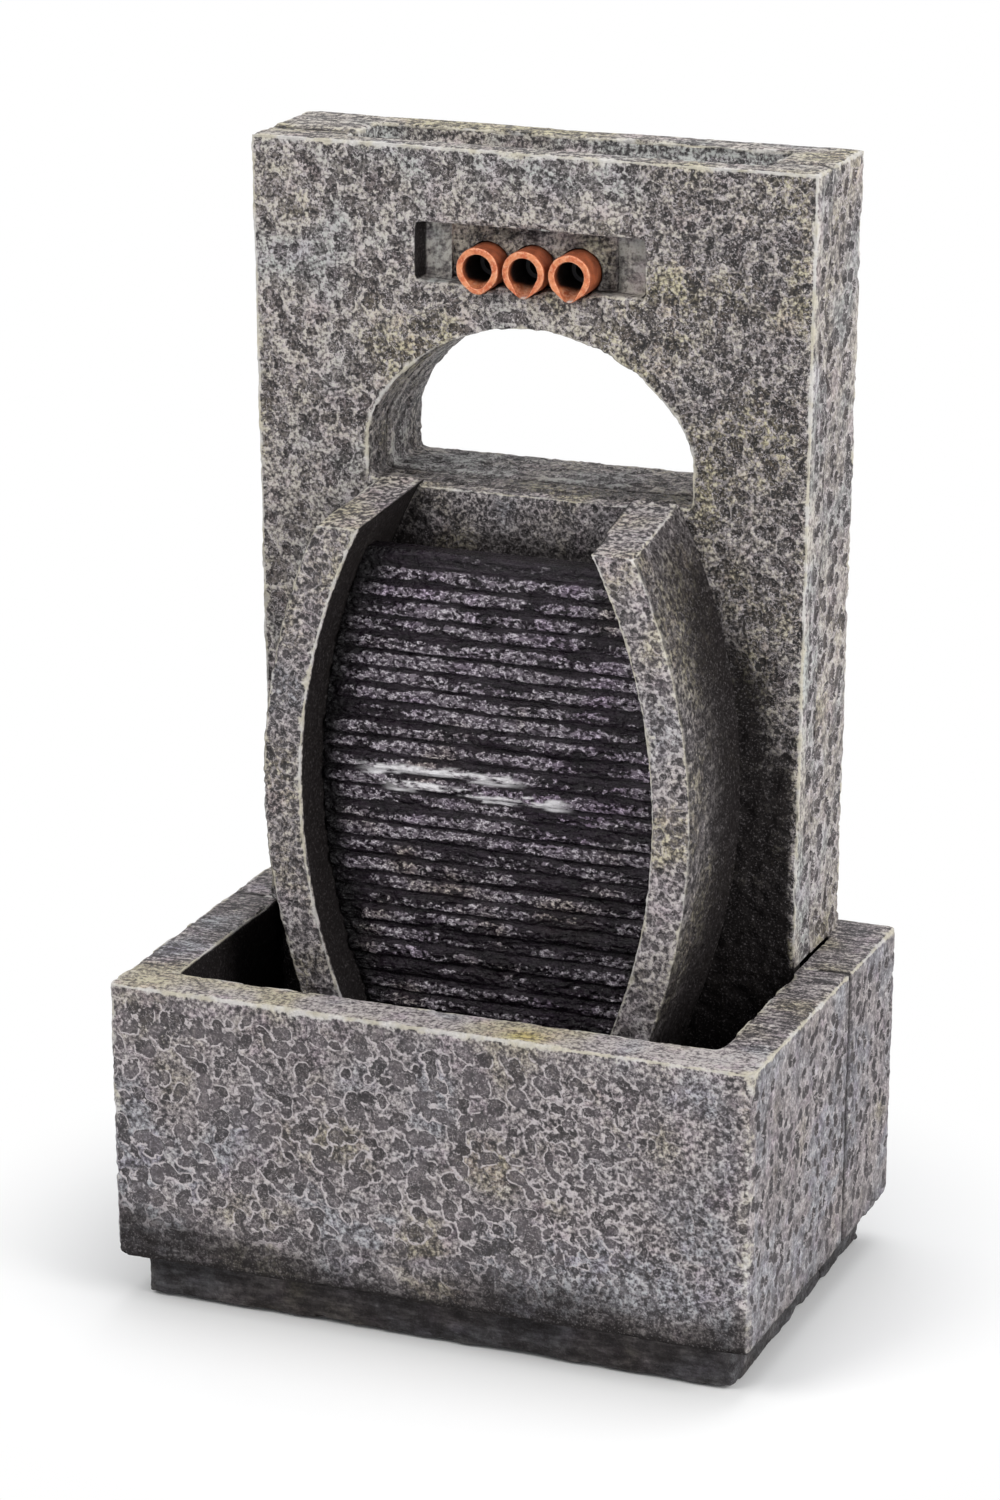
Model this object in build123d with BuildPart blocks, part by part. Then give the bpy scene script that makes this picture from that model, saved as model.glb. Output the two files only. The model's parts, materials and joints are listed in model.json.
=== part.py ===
from build123d import *
import math
import os

os.makedirs("parts", exist_ok=True)

# Stone tabletop fountain: a square basin, a tall wall with an arched window, a slate cascade
# between two bowed cheeks below the window, and three spouts in a niche above it.
# Millimetres. Origin at the middle of the underside, +Z up, +X to the right, +Y to the rear.

# Basin, cast in a front and a rear half
basin_width = 250.0
basin_depth = 167.0
rim_height = 126.0
basin_wall = 20.0
basin_floor_height = 30.0
basin_draft_angle = 0.45
basin_corner_radius = 3.0
basin_inner_radius = 4.0
rim_edge_radius = 1.2
basin_seam_setback = 3.5
plinth_height = 18.0
plinth_inset = 9.0

# Rubber pads let into the plinth
pad_radius = 8.0
pad_thickness = 3.0
pad_standing = 1.0
pad_edge_distance = 14.0
pad_fit = 0.1

# Wall above the basin, cast in a front and a rear half
fountain_height = 422.0
column_x = -2.0
wall_half_width_top = 109.6
wall_half_width_rim = 105.8
wall_rear_margin = 7.0
wall_depth = 53.0
wall_front_half_depth = 18.5
shell_wall = 8.0
wall_edge_radius = 1.5
foot_side_gap = 1.5
foot_arch_width = 76.0
foot_arch_height = 58.0
foot_notch_width = 16.0
foot_notch_height = 24.0
foot_notch_x = 92.0

# Arched window through the wall
window_half_width = 63.0
window_jamb_height = 14.0
window_rise = 46.0
window_haunch_radius = 26.0

# Hollow in the top of the wall
top_recess_width = 161.0
top_recess_depth_y = 28.0
top_recess_sink = 6.0
top_recess_offset_x = 5.5
top_recess_setback = 25.0

# Niche for the spouts
niche_half_width = 44.2
niche_height = 20.8
niche_top_drop = 28.6
niche_above_crown = 15.6
niche_depth = 8.5
niche_backing = 6.0

# Spouts
spout_radius = 8.3
spout_bore_radius = 5.4
spout_pitch = 17.8
spout_row_offset = 0.2
spout_axis_rise = 6.3
spout_projection = 5.0
spout_tail = 2.0
spout_lip_drop = 7.1
spout_lip_radius = 2.3
spout_notch_half_width = 2.4
spout_notch_depth = 5.5
spout_gap = 0.3

# Mortar bed round the spouts
mortar_thickness = 3.0
mortar_margin = 6.0

# Cheeks that hold the cascade
lens_half_width = 83.7
lens_radius = 235.0
lens_mid_drop = 105.0
flare_drop = 16.0
foot_drop = 66.0
cheek_thickness = 15.6
cheek_depth = 53.7
cheek_top_rise = 1.0
cheek_top_fall = 6.5
cheek_edge_radius = 1.0
ledge_height = 6.0
ledge_reach = 5.0
piece_gap = 0.3

# Slate cascade and the trough behind its lip
cascade_lip_drop = 17.0
cascade_setback = 20.7
cascade_thickness = 8.0
rib_pitch = 6.6
rib_reach = 3.2
rib_mean_share = 0.72
rib_swing_share = 0.28
rib_turn = 2.4
nose_low_share = 0.14
nose_middle_share = 0.5
nose_high_share = 0.86
trough_depth = 19.0
trough_floor = 6.0
trough_back_wall = 5.0

# Supply hose, manifold and clamps
service_depth = 24.5
hose_radius = 5.5
hose_bore_radius = 4.0
hose_jamb_inset = 21.8
hose_lower_rise = 54.0
hose_offset_rise = 85.0
hose_offset_bend_radius = 90.0
hose_top_bend_radius = 34.0
nipple_radius = 3.8
nipple_bore_radius = 2.8
nipple_length = 10.0
manifold_radius = 6.8
manifold_bore_radius = 4.2
manifold_wall = 2.5
manifold_end_margin = 10.0
stub_radius = 4.8
stub_bore_radius = 3.2
stub_length = 6.0
stub_collar_radius = 7.2
clamp_width = 4.0
clamp_thickness = 1.2
clamp_gap = 0.15
clamp_ear_length = 4.0
clamp_ear_width = 3.0

# Submersible pump
pump_mouth_offset = 30.0
pump_width = 27.0
pump_height = 38.0
pump_length = 42.0
pump_corner_radius = 5.0
pump_wall = 2.5
cup_height = 6.0
cup_rim_radius = 5.0
cup_neck_radius = 2.5
cup_spacing_x = 28.0
cup_spacing_y = 15.0
can_radius = 8.6
well_radius = 6.9
well_depth = 26.0
core_width = 12.0
core_arm_height = 5.5
core_gap = 0.4
core_front_inset = 4.0
core_web = 5.0
coil_thickness = 2.5
coil_clearance = 0.25
end_plate_thickness = 2.0
end_plate_spigot = 2.0
end_plate_fit = 0.1
volute_width = 24.0
volute_length = 16.0
volute_corner_radius = 8.0
chamber_radius = 10.2
chamber_depth = 9.0
inlet_radius = 5.2
spider_boss_radius = 3.2
spider_spoke_width = 1.4
spider_spoke_overrun = 3.0
nozzle_base_radius = 5.0
nozzle_set_back = 5.5
seal_inner_radius = 10.6
seal_outer_radius = 11.6
seal_sink = 1.0
shaft_radius = 1.2
shaft_running_gap = 0.05
bush_radius = 2.4
bush_length = 3.0
bush_fit = 0.05
rotor_radius = 6.4
rotor_length = 22.5
impeller_radius = 9.2
impeller_plate = 1.4
impeller_plate_gap = 0.6
blade_height = 5.4
blade_thickness = 1.2
blade_count = 6
strainer_wall = 1.2
strainer_plate = 2.0
strainer_skirt = 5.0
strainer_gap = 0.3
strainer_slot_width = 1.8
strainer_slot_height = 15.0
strainer_slot_pitch = 4.0
strainer_slot_count = 5
dial_radius = 7.5
dial_thickness = 2.2
dial_pin_radius = 1.5
dial_window_radius = 1.8
dial_window_circle = 4.8
dial_knob_width = 1.6
dial_knob_height = 1.5
dial_gap = 0.3
gland_stem_radius = 3.5
gland_fit = 0.1
gland_flange_radius = 5.0
gland_flange_thickness = 1.5
gland_nose_length = 6.0
gland_nose_radius = 3.6
gland_bore_radius = 2.5

# Access cover in the rear of the wall
cover_width = 110.0
cover_height = 90.0
cover_thickness = 4.0
cover_corner_radius = 8.0
cover_gap = 0.5
cover_sink = 4.3
cover_ledge = 8.0
cover_rise = 74.0
peg_radius = 2.0
peg_length = 7.0
peg_inset = 3.8
grommet_radius = 3.4
grommet_gap = 0.3
grommet_fit = 0.05
grommet_flange = 1.0
grommet_flange_radius = 4.4
cord_hole_drop = 26.0
cord_grommet_radius = 6.0
cord_grommet_bore_radius = 3.0
cord_grommet_flange_radius = 8.0
cord_grommet_flange = 1.2

# Places that follow from the sizes above, in depth
wall_rear_y = basin_depth / 2 - wall_rear_margin
wall_front_y = wall_rear_y - wall_depth
wall_seam_y = wall_front_y + wall_front_half_depth
basin_seam_y = wall_front_y + basin_seam_setback
top_recess_y = wall_front_y + top_recess_setback
service_y = wall_front_y + service_depth
niche_back_y = wall_front_y + niche_depth
niche_backing_y = niche_back_y + niche_backing
cheek_front_y = wall_front_y - cheek_depth
cascade_front_y = cheek_front_y + cascade_setback
cascade_back_y = cascade_front_y + cascade_thickness
spout_front_y = wall_front_y - spout_projection
spout_rear_y = niche_backing_y + spout_tail

# In height, down from the top of the wall and up from the basin
niche_top_height = fountain_height - niche_top_drop
niche_bottom_height = niche_top_height - niche_height
niche_middle_height = niche_bottom_height + niche_height / 2
spout_axis_height = niche_bottom_height + spout_axis_rise
window_crown_height = niche_bottom_height - niche_above_crown
window_spring_height = window_crown_height - window_rise
sill_height = window_spring_height - window_jamb_height
chamber_top_height = fountain_height - top_recess_sink - shell_wall
cheek_rear_top_height = sill_height + cheek_top_rise
cheek_front_top_height = cheek_rear_top_height - cheek_top_fall
lens_mid_height = sill_height - lens_mid_drop
flare_height = rim_height - flare_drop
foot_top_height = rim_height - foot_drop
cascade_lip_height = sill_height - cascade_lip_drop
trough_top_height = cascade_lip_height - trough_depth
trough_bottom_height = trough_top_height - trough_floor
cover_middle_height = rim_height + cover_rise
pump_underside = basin_floor_height + cup_height
pump_axis_height = pump_underside + pump_height / 2
pump_top_height = pump_underside + pump_height

# In width
top_recess_x = column_x + top_recess_offset_x
spout_row_x = column_x - spout_row_offset
spout_places = [spout_row_x + spout_pitch * step for step in (-1, 0, 1)]
pad_spacing_x = basin_width - 2 * plinth_inset - 2 * pad_edge_distance
pad_spacing_y = basin_depth - 2 * plinth_inset - 2 * pad_edge_distance
foot_half_width = basin_width / 2 - basin_wall - foot_side_gap
pump_mouth_x = column_x - pump_mouth_offset
nozzle_x = pump_mouth_x - nozzle_set_back
volute_front_x = pump_mouth_x - volute_length
pump_rear_x = pump_mouth_x + pump_length
manifold_left_x = spout_places[0] - manifold_end_margin
manifold_right_x = spout_places[2] + manifold_end_margin
hose_jamb_x = column_x - wall_half_width_top + hose_jamb_inset


def column_plane(y):
    """An upright plane that faces the front, centred on the wall: its y axis is height."""
    return Plane(origin=(column_x, y, 0), x_dir=(1, 0, 0), z_dir=(0, -1, 0))


def spout_plane(x, y):
    """An upright plane that faces the front, centred on one spout."""
    return Plane(origin=(x, y, spout_axis_height), x_dir=(1, 0, 0), z_dir=(0, -1, 0))


def pump_plane(x):
    """A plane square to the pump's axis, centred on it: its x axis points to the rear."""
    return Plane(origin=(x, service_y, pump_axis_height), x_dir=(0, 1, 0), z_dir=(1, 0, 0))


def wall_half_width(height):
    """Half the wall's width at a height: it widens evenly from the rim to the top."""
    share_up = (height - rim_height) / (fountain_height - rim_height)
    return wall_half_width_rim + (wall_half_width_top - wall_half_width_rim) * share_up


def wall_face(inset, top):
    """The wall seen from the front, from the rim up to a height, drawn in at the sides."""
    half_low = wall_half_width(rim_height) - inset
    half_high = wall_half_width(top) - inset
    with BuildLine() as outline:
        Polyline(
            (-half_low, rim_height),
            (half_low, rim_height),
            (half_high, top),
            (-half_high, top),
            close=True,
        )
    make_face(outline.edges())


def window_face(margin, mode=Mode.ADD):
    """The window with its three-centred arch, grown by a margin all round."""
    rise = window_crown_height - window_spring_height
    haunch_x = window_half_width - window_haunch_radius
    crown_rise = rise - window_haunch_radius
    crown_radius = (haunch_x**2 + rise**2 - window_haunch_radius**2) / (2 * crown_rise)
    crown_centre = window_crown_height - crown_radius
    meet_angle = math.degrees(math.atan2(window_spring_height - crown_centre, haunch_x))
    half = window_half_width + margin
    with BuildLine() as outline:
        CenterArc((haunch_x, window_spring_height), window_haunch_radius + margin, 0, meet_angle)
        CenterArc((0, crown_centre), crown_radius + margin, meet_angle, 180 - 2 * meet_angle)
        CenterArc(
            (-haunch_x, window_spring_height),
            window_haunch_radius + margin,
            180 - meet_angle,
            meet_angle,
        )
        Polyline(
            (-half, window_spring_height),
            (-half, sill_height - margin),
            (half, sill_height - margin),
            (half, window_spring_height),
        )
    make_face(outline.edges(), mode=mode)


def hollow_face():
    """The wall's hollow seen from the front: the wall and the window each keep a shell."""
    wall_face(shell_wall, chamber_top_height)
    window_face(shell_wall, mode=Mode.SUBTRACT)


def bowed_side(inset, top):
    """The right side of the cascade, bowed out, then flared back to an upright foot.

    It runs from a height down to the basin floor, moved towards the middle by the inset.
    """
    flare_angle = math.degrees(math.asin((lens_mid_height - flare_height) / lens_radius))
    flare_sine = math.sin(math.radians(flare_angle))
    flare_cosine = math.cos(math.radians(flare_angle))
    foot_radius = (flare_height - foot_top_height) / flare_sine
    lens_centre_x = lens_half_width - lens_radius
    foot_centre_x = lens_centre_x + (lens_radius + foot_radius) * flare_cosine
    upper_radius = lens_radius - inset
    lower_radius = foot_radius + inset
    top_angle = math.degrees(math.asin((top - lens_mid_height) / upper_radius))
    CenterArc((lens_centre_x, lens_mid_height), upper_radius, -flare_angle, top_angle + flare_angle)
    CenterArc((foot_centre_x, foot_top_height), lower_radius, 180 - flare_angle, flare_angle)
    Line(
        (foot_centre_x - lower_radius, foot_top_height),
        (foot_centre_x - lower_radius, basin_floor_height),
    )
    return (
        (lens_centre_x + upper_radius * math.cos(math.radians(top_angle)), top),
        (foot_centre_x - lower_radius, basin_floor_height),
    )


def bowed_face(inset, top):
    """The whole cascade seen from the front, drawn in by the inset."""
    with BuildLine() as outline:
        high, low = bowed_side(inset, top)
        Line(high, (0, top))
        Line(low, (0, basin_floor_height))
        mirror(about=Plane.YZ)
    make_face(outline.edges())


def bowed_half_width(inset, height):
    """Half the cascade's width at a height on its bowed part, drawn in by the inset."""
    lens_centre_x = lens_half_width - lens_radius
    return lens_centre_x + math.sqrt((lens_radius - inset) ** 2 - (height - lens_mid_height) ** 2)


def spout_face(margin):
    """A spout's outline: round, drawn down to a narrow lip below."""
    Circle(spout_radius + margin)
    with Locations((0, -spout_lip_drop)):
        Circle(spout_lip_radius + margin)
    make_hull()


# Basin halves


def basin_half(side, label):
    with BuildPart() as casting:
        with BuildSketch(Plane.XY.offset(rim_height)):
            RectangleRounded(basin_width, basin_depth, basin_corner_radius)
        extrude(amount=plinth_height - rim_height, taper=basin_draft_angle)
        with BuildSketch(Plane.XY.offset(pad_standing)):
            RectangleRounded(
                basin_width - 2 * plinth_inset,
                basin_depth - 2 * plinth_inset,
                basin_corner_radius,
            )
        extrude(amount=plinth_height - pad_standing)
        with BuildSketch(Plane.XY.offset(basin_floor_height)):
            RectangleRounded(
                basin_width - 2 * basin_wall,
                basin_depth - 2 * basin_wall,
                basin_inner_radius,
            )
        extrude(amount=rim_height - basin_floor_height, mode=Mode.SUBTRACT)
        fillet(casting.faces().sort_by(Axis.Z)[-1].edges(), radius=rim_edge_radius)
        with BuildSketch(Plane.XY.offset(pad_standing)):
            with GridLocations(pad_spacing_x, pad_spacing_y, 2, 2):
                Circle(pad_radius + pad_fit)
        extrude(amount=pad_thickness - pad_standing, mode=Mode.SUBTRACT)
        split(bisect_by=Plane.XZ.offset(-basin_seam_y), keep=side)
    casting.part.label = label
    return casting.part


export_step(basin_half(Keep.TOP, "basin_front"), "parts/basin_front.step")
export_step(basin_half(Keep.BOTTOM, "basin_rear"), "parts/basin_rear.step")

with BuildPart() as foot_pads:
    with BuildSketch():
        with GridLocations(pad_spacing_x, pad_spacing_y, 2, 2):
            Circle(pad_radius)
    extrude(amount=pad_thickness)
foot_pads.part.label = "foot_pads"
export_step(foot_pads.part, "parts/foot_pads.step")

# Front half of the wall: a plate that stands on the basin floor, with the niche for the spouts

with BuildPart() as tower_front:
    with BuildSketch(column_plane(wall_front_y)):
        wall_face(0, fountain_height)
    extrude(amount=-wall_front_half_depth)
    front_edges = tower_front.faces().sort_by(Axis.Y)[0].edges().sort_by(Axis.Z)
    fillet(front_edges[1:], radius=wall_edge_radius)
    with BuildSketch(column_plane(wall_front_y + shell_wall)):
        hollow_face()
    extrude(amount=shell_wall - wall_front_half_depth, mode=Mode.SUBTRACT)
    with BuildSketch(column_plane(wall_front_y)):
        window_face(0)
    extrude(amount=-wall_front_half_depth, mode=Mode.SUBTRACT)
    with BuildSketch(Plane.XY.offset(basin_floor_height)):
        with Locations((0, wall_front_y + shell_wall / 2)):
            Rectangle(2 * foot_half_width, shell_wall)
    extrude(amount=rim_height - basin_floor_height)
    with BuildSketch(column_plane(niche_backing_y)):
        with Locations((0, niche_middle_height)):
            Rectangle(2 * (niche_half_width + niche_backing), niche_height + 2 * niche_backing)
    extrude(amount=niche_backing_y - wall_front_y - shell_wall)
    with BuildSketch(column_plane(wall_front_y)):
        with Locations((0, niche_middle_height)):
            Rectangle(2 * niche_half_width, niche_height)
    extrude(amount=-niche_depth, mode=Mode.SUBTRACT)
    for place in spout_places:
        with BuildSketch(spout_plane(place, wall_front_y)):
            spout_face(spout_gap)
        extrude(amount=wall_front_y - niche_backing_y, mode=Mode.SUBTRACT)
    with BuildSketch(Plane.XY.offset(fountain_height)):
        with Locations((top_recess_x, top_recess_y)):
            Rectangle(top_recess_width, top_recess_depth_y)
    extrude(amount=-top_recess_sink, mode=Mode.SUBTRACT)
    with BuildSketch(Plane.XZ.offset(-wall_front_y)):
        with Locations((column_x, basin_floor_height)):
            Rectangle(foot_arch_width, foot_arch_height, align=(Align.CENTER, Align.MIN))
        with Locations((-foot_notch_x, basin_floor_height), (foot_notch_x, basin_floor_height)):
            Rectangle(foot_notch_width, foot_notch_height, align=(Align.CENTER, Align.MIN))
    extrude(amount=-shell_wall, mode=Mode.SUBTRACT)
tower_front.part.label = "tower_front"
export_step(tower_front.part, "parts/tower_front.step")

# Rear half of the wall: it stands on the rim and has the rebate for the access cover

opening_width = cover_width + 2 * cover_gap - 2 * cover_ledge
opening_height = cover_height + 2 * cover_gap - 2 * cover_ledge
cover_seat_y = wall_rear_y - cover_sink
peg_spacing_x = cover_width - 2 * peg_inset
peg_spacing_z = cover_height - 2 * peg_inset


def rear_plane(y):
    """An upright plane that faces the rear: its y axis is height, its x axis points left."""
    return Plane(origin=(column_x, y, cover_middle_height), x_dir=(-1, 0, 0), z_dir=(0, 1, 0))


with BuildPart() as tower_rear:
    with BuildSketch(column_plane(wall_seam_y)):
        wall_face(0, fountain_height)
    extrude(amount=wall_seam_y - wall_rear_y)
    rear_edges = tower_rear.faces().sort_by(Axis.Y)[-1].edges().sort_by(Axis.Z)
    fillet(rear_edges[1:], radius=wall_edge_radius)
    with BuildSketch(column_plane(wall_seam_y)):
        hollow_face()
    extrude(amount=wall_seam_y - wall_rear_y + shell_wall, mode=Mode.SUBTRACT)
    with BuildSketch(column_plane(wall_seam_y)):
        window_face(0)
    extrude(amount=wall_seam_y - wall_rear_y, mode=Mode.SUBTRACT)
    with BuildSketch(Plane.XY.offset(fountain_height)):
        with Locations((top_recess_x, top_recess_y)):
            Rectangle(top_recess_width, top_recess_depth_y)
    extrude(amount=-top_recess_sink, mode=Mode.SUBTRACT)
    with BuildSketch(rear_plane(wall_rear_y)):
        RectangleRounded(
            cover_width + 2 * cover_gap,
            cover_height + 2 * cover_gap,
            cover_corner_radius,
        )
    extrude(amount=-cover_sink, mode=Mode.SUBTRACT)
    with BuildSketch(rear_plane(cover_seat_y)):
        RectangleRounded(opening_width, opening_height, cover_corner_radius)
        with GridLocations(peg_spacing_x, peg_spacing_z, 2, 2):
            Circle(grommet_radius + grommet_fit)
    extrude(amount=cover_sink - shell_wall, mode=Mode.SUBTRACT)
tower_rear.part.label = "tower_rear"
export_step(tower_rear.part, "parts/tower_rear.step")

# Cheeks of the cascade, with a ledge inside each that carries the trough

ledge_inner_x = bowed_half_width(cheek_thickness, trough_bottom_height) - ledge_reach
ledge_front_y = cascade_back_y + piece_gap


def cheek(side, label):
    with BuildPart() as side_piece:
        with BuildSketch(column_plane(cheek_front_y)):
            bowed_face(0, cheek_rear_top_height)
        extrude(amount=-cheek_depth)
        with BuildSketch(column_plane(cheek_front_y)):
            bowed_face(cheek_thickness, cheek_rear_top_height)
        extrude(amount=-cheek_depth, mode=Mode.SUBTRACT)
        for hand in (-1, 1):
            with BuildSketch(column_plane(ledge_front_y)):
                with Locations((hand * (ledge_inner_x + ledge_reach), trough_bottom_height)):
                    Rectangle(2 * ledge_reach, ledge_height, align=(Align.CENTER, Align.MAX))
            extrude(amount=ledge_front_y - wall_front_y)
        with BuildSketch(Plane.YZ.offset(column_x - basin_width / 2)):
            with BuildLine():
                Polyline(
                    (cheek_front_y, cheek_front_top_height),
                    (wall_front_y, cheek_rear_top_height),
                    (cheek_front_y, cheek_rear_top_height),
                    close=True,
                )
            make_face()
        extrude(amount=basin_width, mode=Mode.SUBTRACT)
        split(bisect_by=Plane.YZ.offset(column_x), keep=side)
        fillet(side_piece.faces().sort_by(Axis.Y)[0].edges(), radius=cheek_edge_radius)
    side_piece.part.label = label
    return side_piece.part


export_step(cheek(Keep.BOTTOM, "cheek_left"), "parts/cheek_left.step")
export_step(cheek(Keep.TOP, "cheek_right"), "parts/cheek_right.step")

# Slate cascade: a stack of thin courses, each with its own reach, cut to the cheeks' inner line

course_count = math.floor((cascade_lip_height - basin_floor_height) / rib_pitch)


def course_points(course):
    """The face of one course in side view: a ledge, a worn nose and an undercut."""
    low = basin_floor_height + course * rib_pitch
    reach_share = rib_mean_share + rib_swing_share * math.sin(rib_turn * course)
    nose_y = cascade_front_y - rib_reach * reach_share
    edge_y = cascade_front_y - rib_reach * reach_share / 2
    return [
        (cascade_front_y, low),
        (edge_y, low + rib_pitch * nose_low_share),
        (nose_y, low + rib_pitch * nose_middle_share),
        (edge_y, low + rib_pitch * nose_high_share),
    ]


with BuildPart() as slate_cascade:
    with BuildSketch(column_plane(cascade_front_y - rib_reach)):
        bowed_face(cheek_thickness + piece_gap, cascade_lip_height)
    extrude(amount=-rib_reach - cascade_thickness)
    with BuildSketch(Plane.YZ.offset(column_x)):
        with BuildLine():
            face_points = []
            for course in range(course_count):
                face_points.extend(course_points(course))
            Polyline(
                *face_points,
                (cascade_front_y, basin_floor_height + course_count * rib_pitch),
                (cascade_front_y, cascade_lip_height),
                (cascade_back_y, cascade_lip_height),
                (cascade_back_y, basin_floor_height),
                close=True,
            )
        make_face()
    extrude(amount=lens_half_width, both=True, mode=Mode.INTERSECT)
slate_cascade.part.label = "slate_cascade"
export_step(slate_cascade.part, "parts/slate_cascade.step")

# Trough behind the cascade's lip: a floor on the cheeks' ledges and a wall under the sill

with BuildPart() as catch_trough:
    with BuildSketch(column_plane(cascade_back_y)):
        bowed_face(cheek_thickness + piece_gap, sill_height)
        Rectangle(
            basin_width,
            trough_bottom_height,
            align=(Align.CENTER, Align.MIN),
            mode=Mode.SUBTRACT,
        )
    extrude(amount=cascade_back_y - wall_front_y)
    with BuildSketch(Plane.XY.offset(trough_top_height)):
        with Locations((column_x, cascade_back_y)):
            Rectangle(
                basin_width,
                wall_front_y - cascade_back_y - trough_back_wall,
                align=(Align.CENTER, Align.MIN),
            )
    extrude(amount=sill_height - trough_top_height, mode=Mode.SUBTRACT)
catch_trough.part.label = "catch_trough"
export_step(catch_trough.part, "parts/catch_trough.step")

# Mortar bed at the back of the niche, bored for the spouts

with BuildPart() as niche_mortar:
    with BuildSketch(Plane.XZ.offset(-niche_back_y)):
        with Locations((spout_row_x, niche_bottom_height)):
            Rectangle(
                2 * (spout_pitch + spout_radius + mortar_margin),
                niche_height,
                align=(Align.CENTER, Align.MIN),
            )
    extrude(amount=mortar_thickness)
    for place in spout_places:
        with BuildSketch(spout_plane(place, niche_back_y)):
            spout_face(spout_gap)
        extrude(amount=mortar_thickness, mode=Mode.SUBTRACT)
niche_mortar.part.label = "niche_mortar"
export_step(niche_mortar.part, "parts/niche_mortar.step")

# Spouts: the left one has a whole rim, the other two have a pouring notch


def spout(place, label, notched):
    with BuildPart() as pipe:
        with BuildSketch(spout_plane(place, spout_front_y)):
            spout_face(0)
            Circle(spout_bore_radius, mode=Mode.SUBTRACT)
        extrude(amount=spout_front_y - spout_rear_y)
        if notched:
            with BuildSketch(spout_plane(place, spout_front_y)):
                with BuildLine():
                    Polyline(
                        (-spout_bore_radius, 0),
                        (spout_bore_radius, 0),
                        (spout_notch_half_width, -spout_lip_drop - spout_lip_radius),
                        (-spout_notch_half_width / 2, -spout_lip_drop - spout_lip_radius),
                        close=True,
                    )
                make_face()
            extrude(amount=-spout_notch_depth, mode=Mode.SUBTRACT)
    pipe.part.label = label
    return pipe.part


export_step(spout(spout_places[0], "spout_left", False), "parts/spout_left.step")
export_step(spout(spout_places[1], "spout_middle", True), "parts/spout_middle.step")
export_step(spout(spout_places[2], "spout_right", True), "parts/spout_right.step")

# Manifold behind the niche: a closed tube with a stub into each spout and a nipple for the hose


def manifold_plane(x):
    """A plane square to the manifold, centred on it."""
    return Plane(origin=(x, service_y, spout_axis_height), x_dir=(0, 1, 0), z_dir=(1, 0, 0))


with BuildPart() as spout_manifold:
    with BuildSketch(manifold_plane(manifold_left_x)):
        Circle(manifold_radius)
    extrude(amount=manifold_right_x - manifold_left_x)
    with BuildSketch(manifold_plane(manifold_left_x)):
        Circle(nipple_radius)
    extrude(amount=-nipple_length)
    for place in spout_places:
        with BuildSketch(spout_plane(place, spout_rear_y)):
            Circle(stub_collar_radius)
        extrude(amount=spout_rear_y - service_y)
        with BuildSketch(spout_plane(place, spout_rear_y)):
            Circle(stub_radius)
        extrude(amount=stub_length)
    with BuildSketch(manifold_plane(manifold_left_x + manifold_wall)):
        Circle(manifold_bore_radius)
    extrude(amount=manifold_right_x - manifold_left_x - 2 * manifold_wall, mode=Mode.SUBTRACT)
    with BuildSketch(manifold_plane(manifold_left_x - nipple_length)):
        Circle(nipple_bore_radius)
    extrude(amount=nipple_length + 2 * manifold_wall, mode=Mode.SUBTRACT)
    for place in spout_places:
        with BuildSketch(spout_plane(place, spout_rear_y - stub_length)):
            Circle(stub_bore_radius)
        extrude(amount=spout_rear_y - stub_length - service_y, mode=Mode.SUBTRACT)
spout_manifold.part.label = "spout_manifold"
export_step(spout_manifold.part, "parts/spout_manifold.step")

# Supply hose: up from the pump's nozzle, across to the left jamb, up and over to the manifold

hose_start_height = pump_top_height
hose_crossing_height = hose_start_height + hose_lower_rise

with BuildPart() as riser_hose:
    with BuildLine() as hose_route:
        FilletPolyline(
            (nozzle_x, service_y, hose_start_height),
            (nozzle_x, service_y, hose_crossing_height),
            (hose_jamb_x, service_y, hose_crossing_height + hose_offset_rise),
            (hose_jamb_x, service_y, spout_axis_height),
            (manifold_left_x, service_y, spout_axis_height),
            radius=[hose_offset_bend_radius, hose_offset_bend_radius, hose_top_bend_radius],
        )
    with BuildSketch(Plane(origin=hose_route.line @ 0, z_dir=hose_route.line % 0)):
        Circle(hose_radius)
        Circle(hose_bore_radius, mode=Mode.SUBTRACT)
    sweep()
riser_hose.part.label = "riser_hose"
export_step(riser_hose.part, "parts/riser_hose.step")
hose_section = math.pi * (hose_radius**2 - hose_bore_radius**2)
hose_length = hose_route.wire().length
print("hose length", round(hose_length, 1), "mm")
hose_volume_share = riser_hose.part.volume / (hose_section * hose_length)
print("hose volume over section times length", round(hose_volume_share, 4))

# Spring clamps on the two ends of the hose: split rings, each with two ears to squeeze

clamp_planes = [
    Plane(origin=(nozzle_x, service_y, hose_start_height + clamp_width), x_dir=(0, 1, 0)),
    Plane(
        origin=(manifold_left_x - 2 * clamp_width, service_y, spout_axis_height),
        x_dir=(0, 1, 0),
        z_dir=(1, 0, 0),
    ),
]

with BuildPart() as hose_clamps:
    for clamp_plane in clamp_planes:
        with BuildSketch(clamp_plane):
            Circle(hose_radius + clamp_gap + clamp_thickness)
            with Locations((0, hose_radius + clamp_gap)):
                Rectangle(
                    2 * clamp_thickness + clamp_ear_width,
                    clamp_ear_length + clamp_thickness,
                    align=(Align.CENTER, Align.MIN),
                )
            Circle(hose_radius + clamp_gap, mode=Mode.SUBTRACT)
            with Locations((0, hose_radius)):
                Rectangle(
                    clamp_ear_width,
                    2 * clamp_ear_length,
                    align=(Align.CENTER, Align.MIN),
                    mode=Mode.SUBTRACT,
                )
        extrude(amount=clamp_width)
hose_clamps.part.label = "hose_clamps"
export_step(hose_clamps.part, "parts/hose_clamps.step")

# Pump housing: open at the rear for the stator, with a blind well for the rotor at its mouth

can_end_x = pump_mouth_x + well_depth + pump_wall

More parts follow.
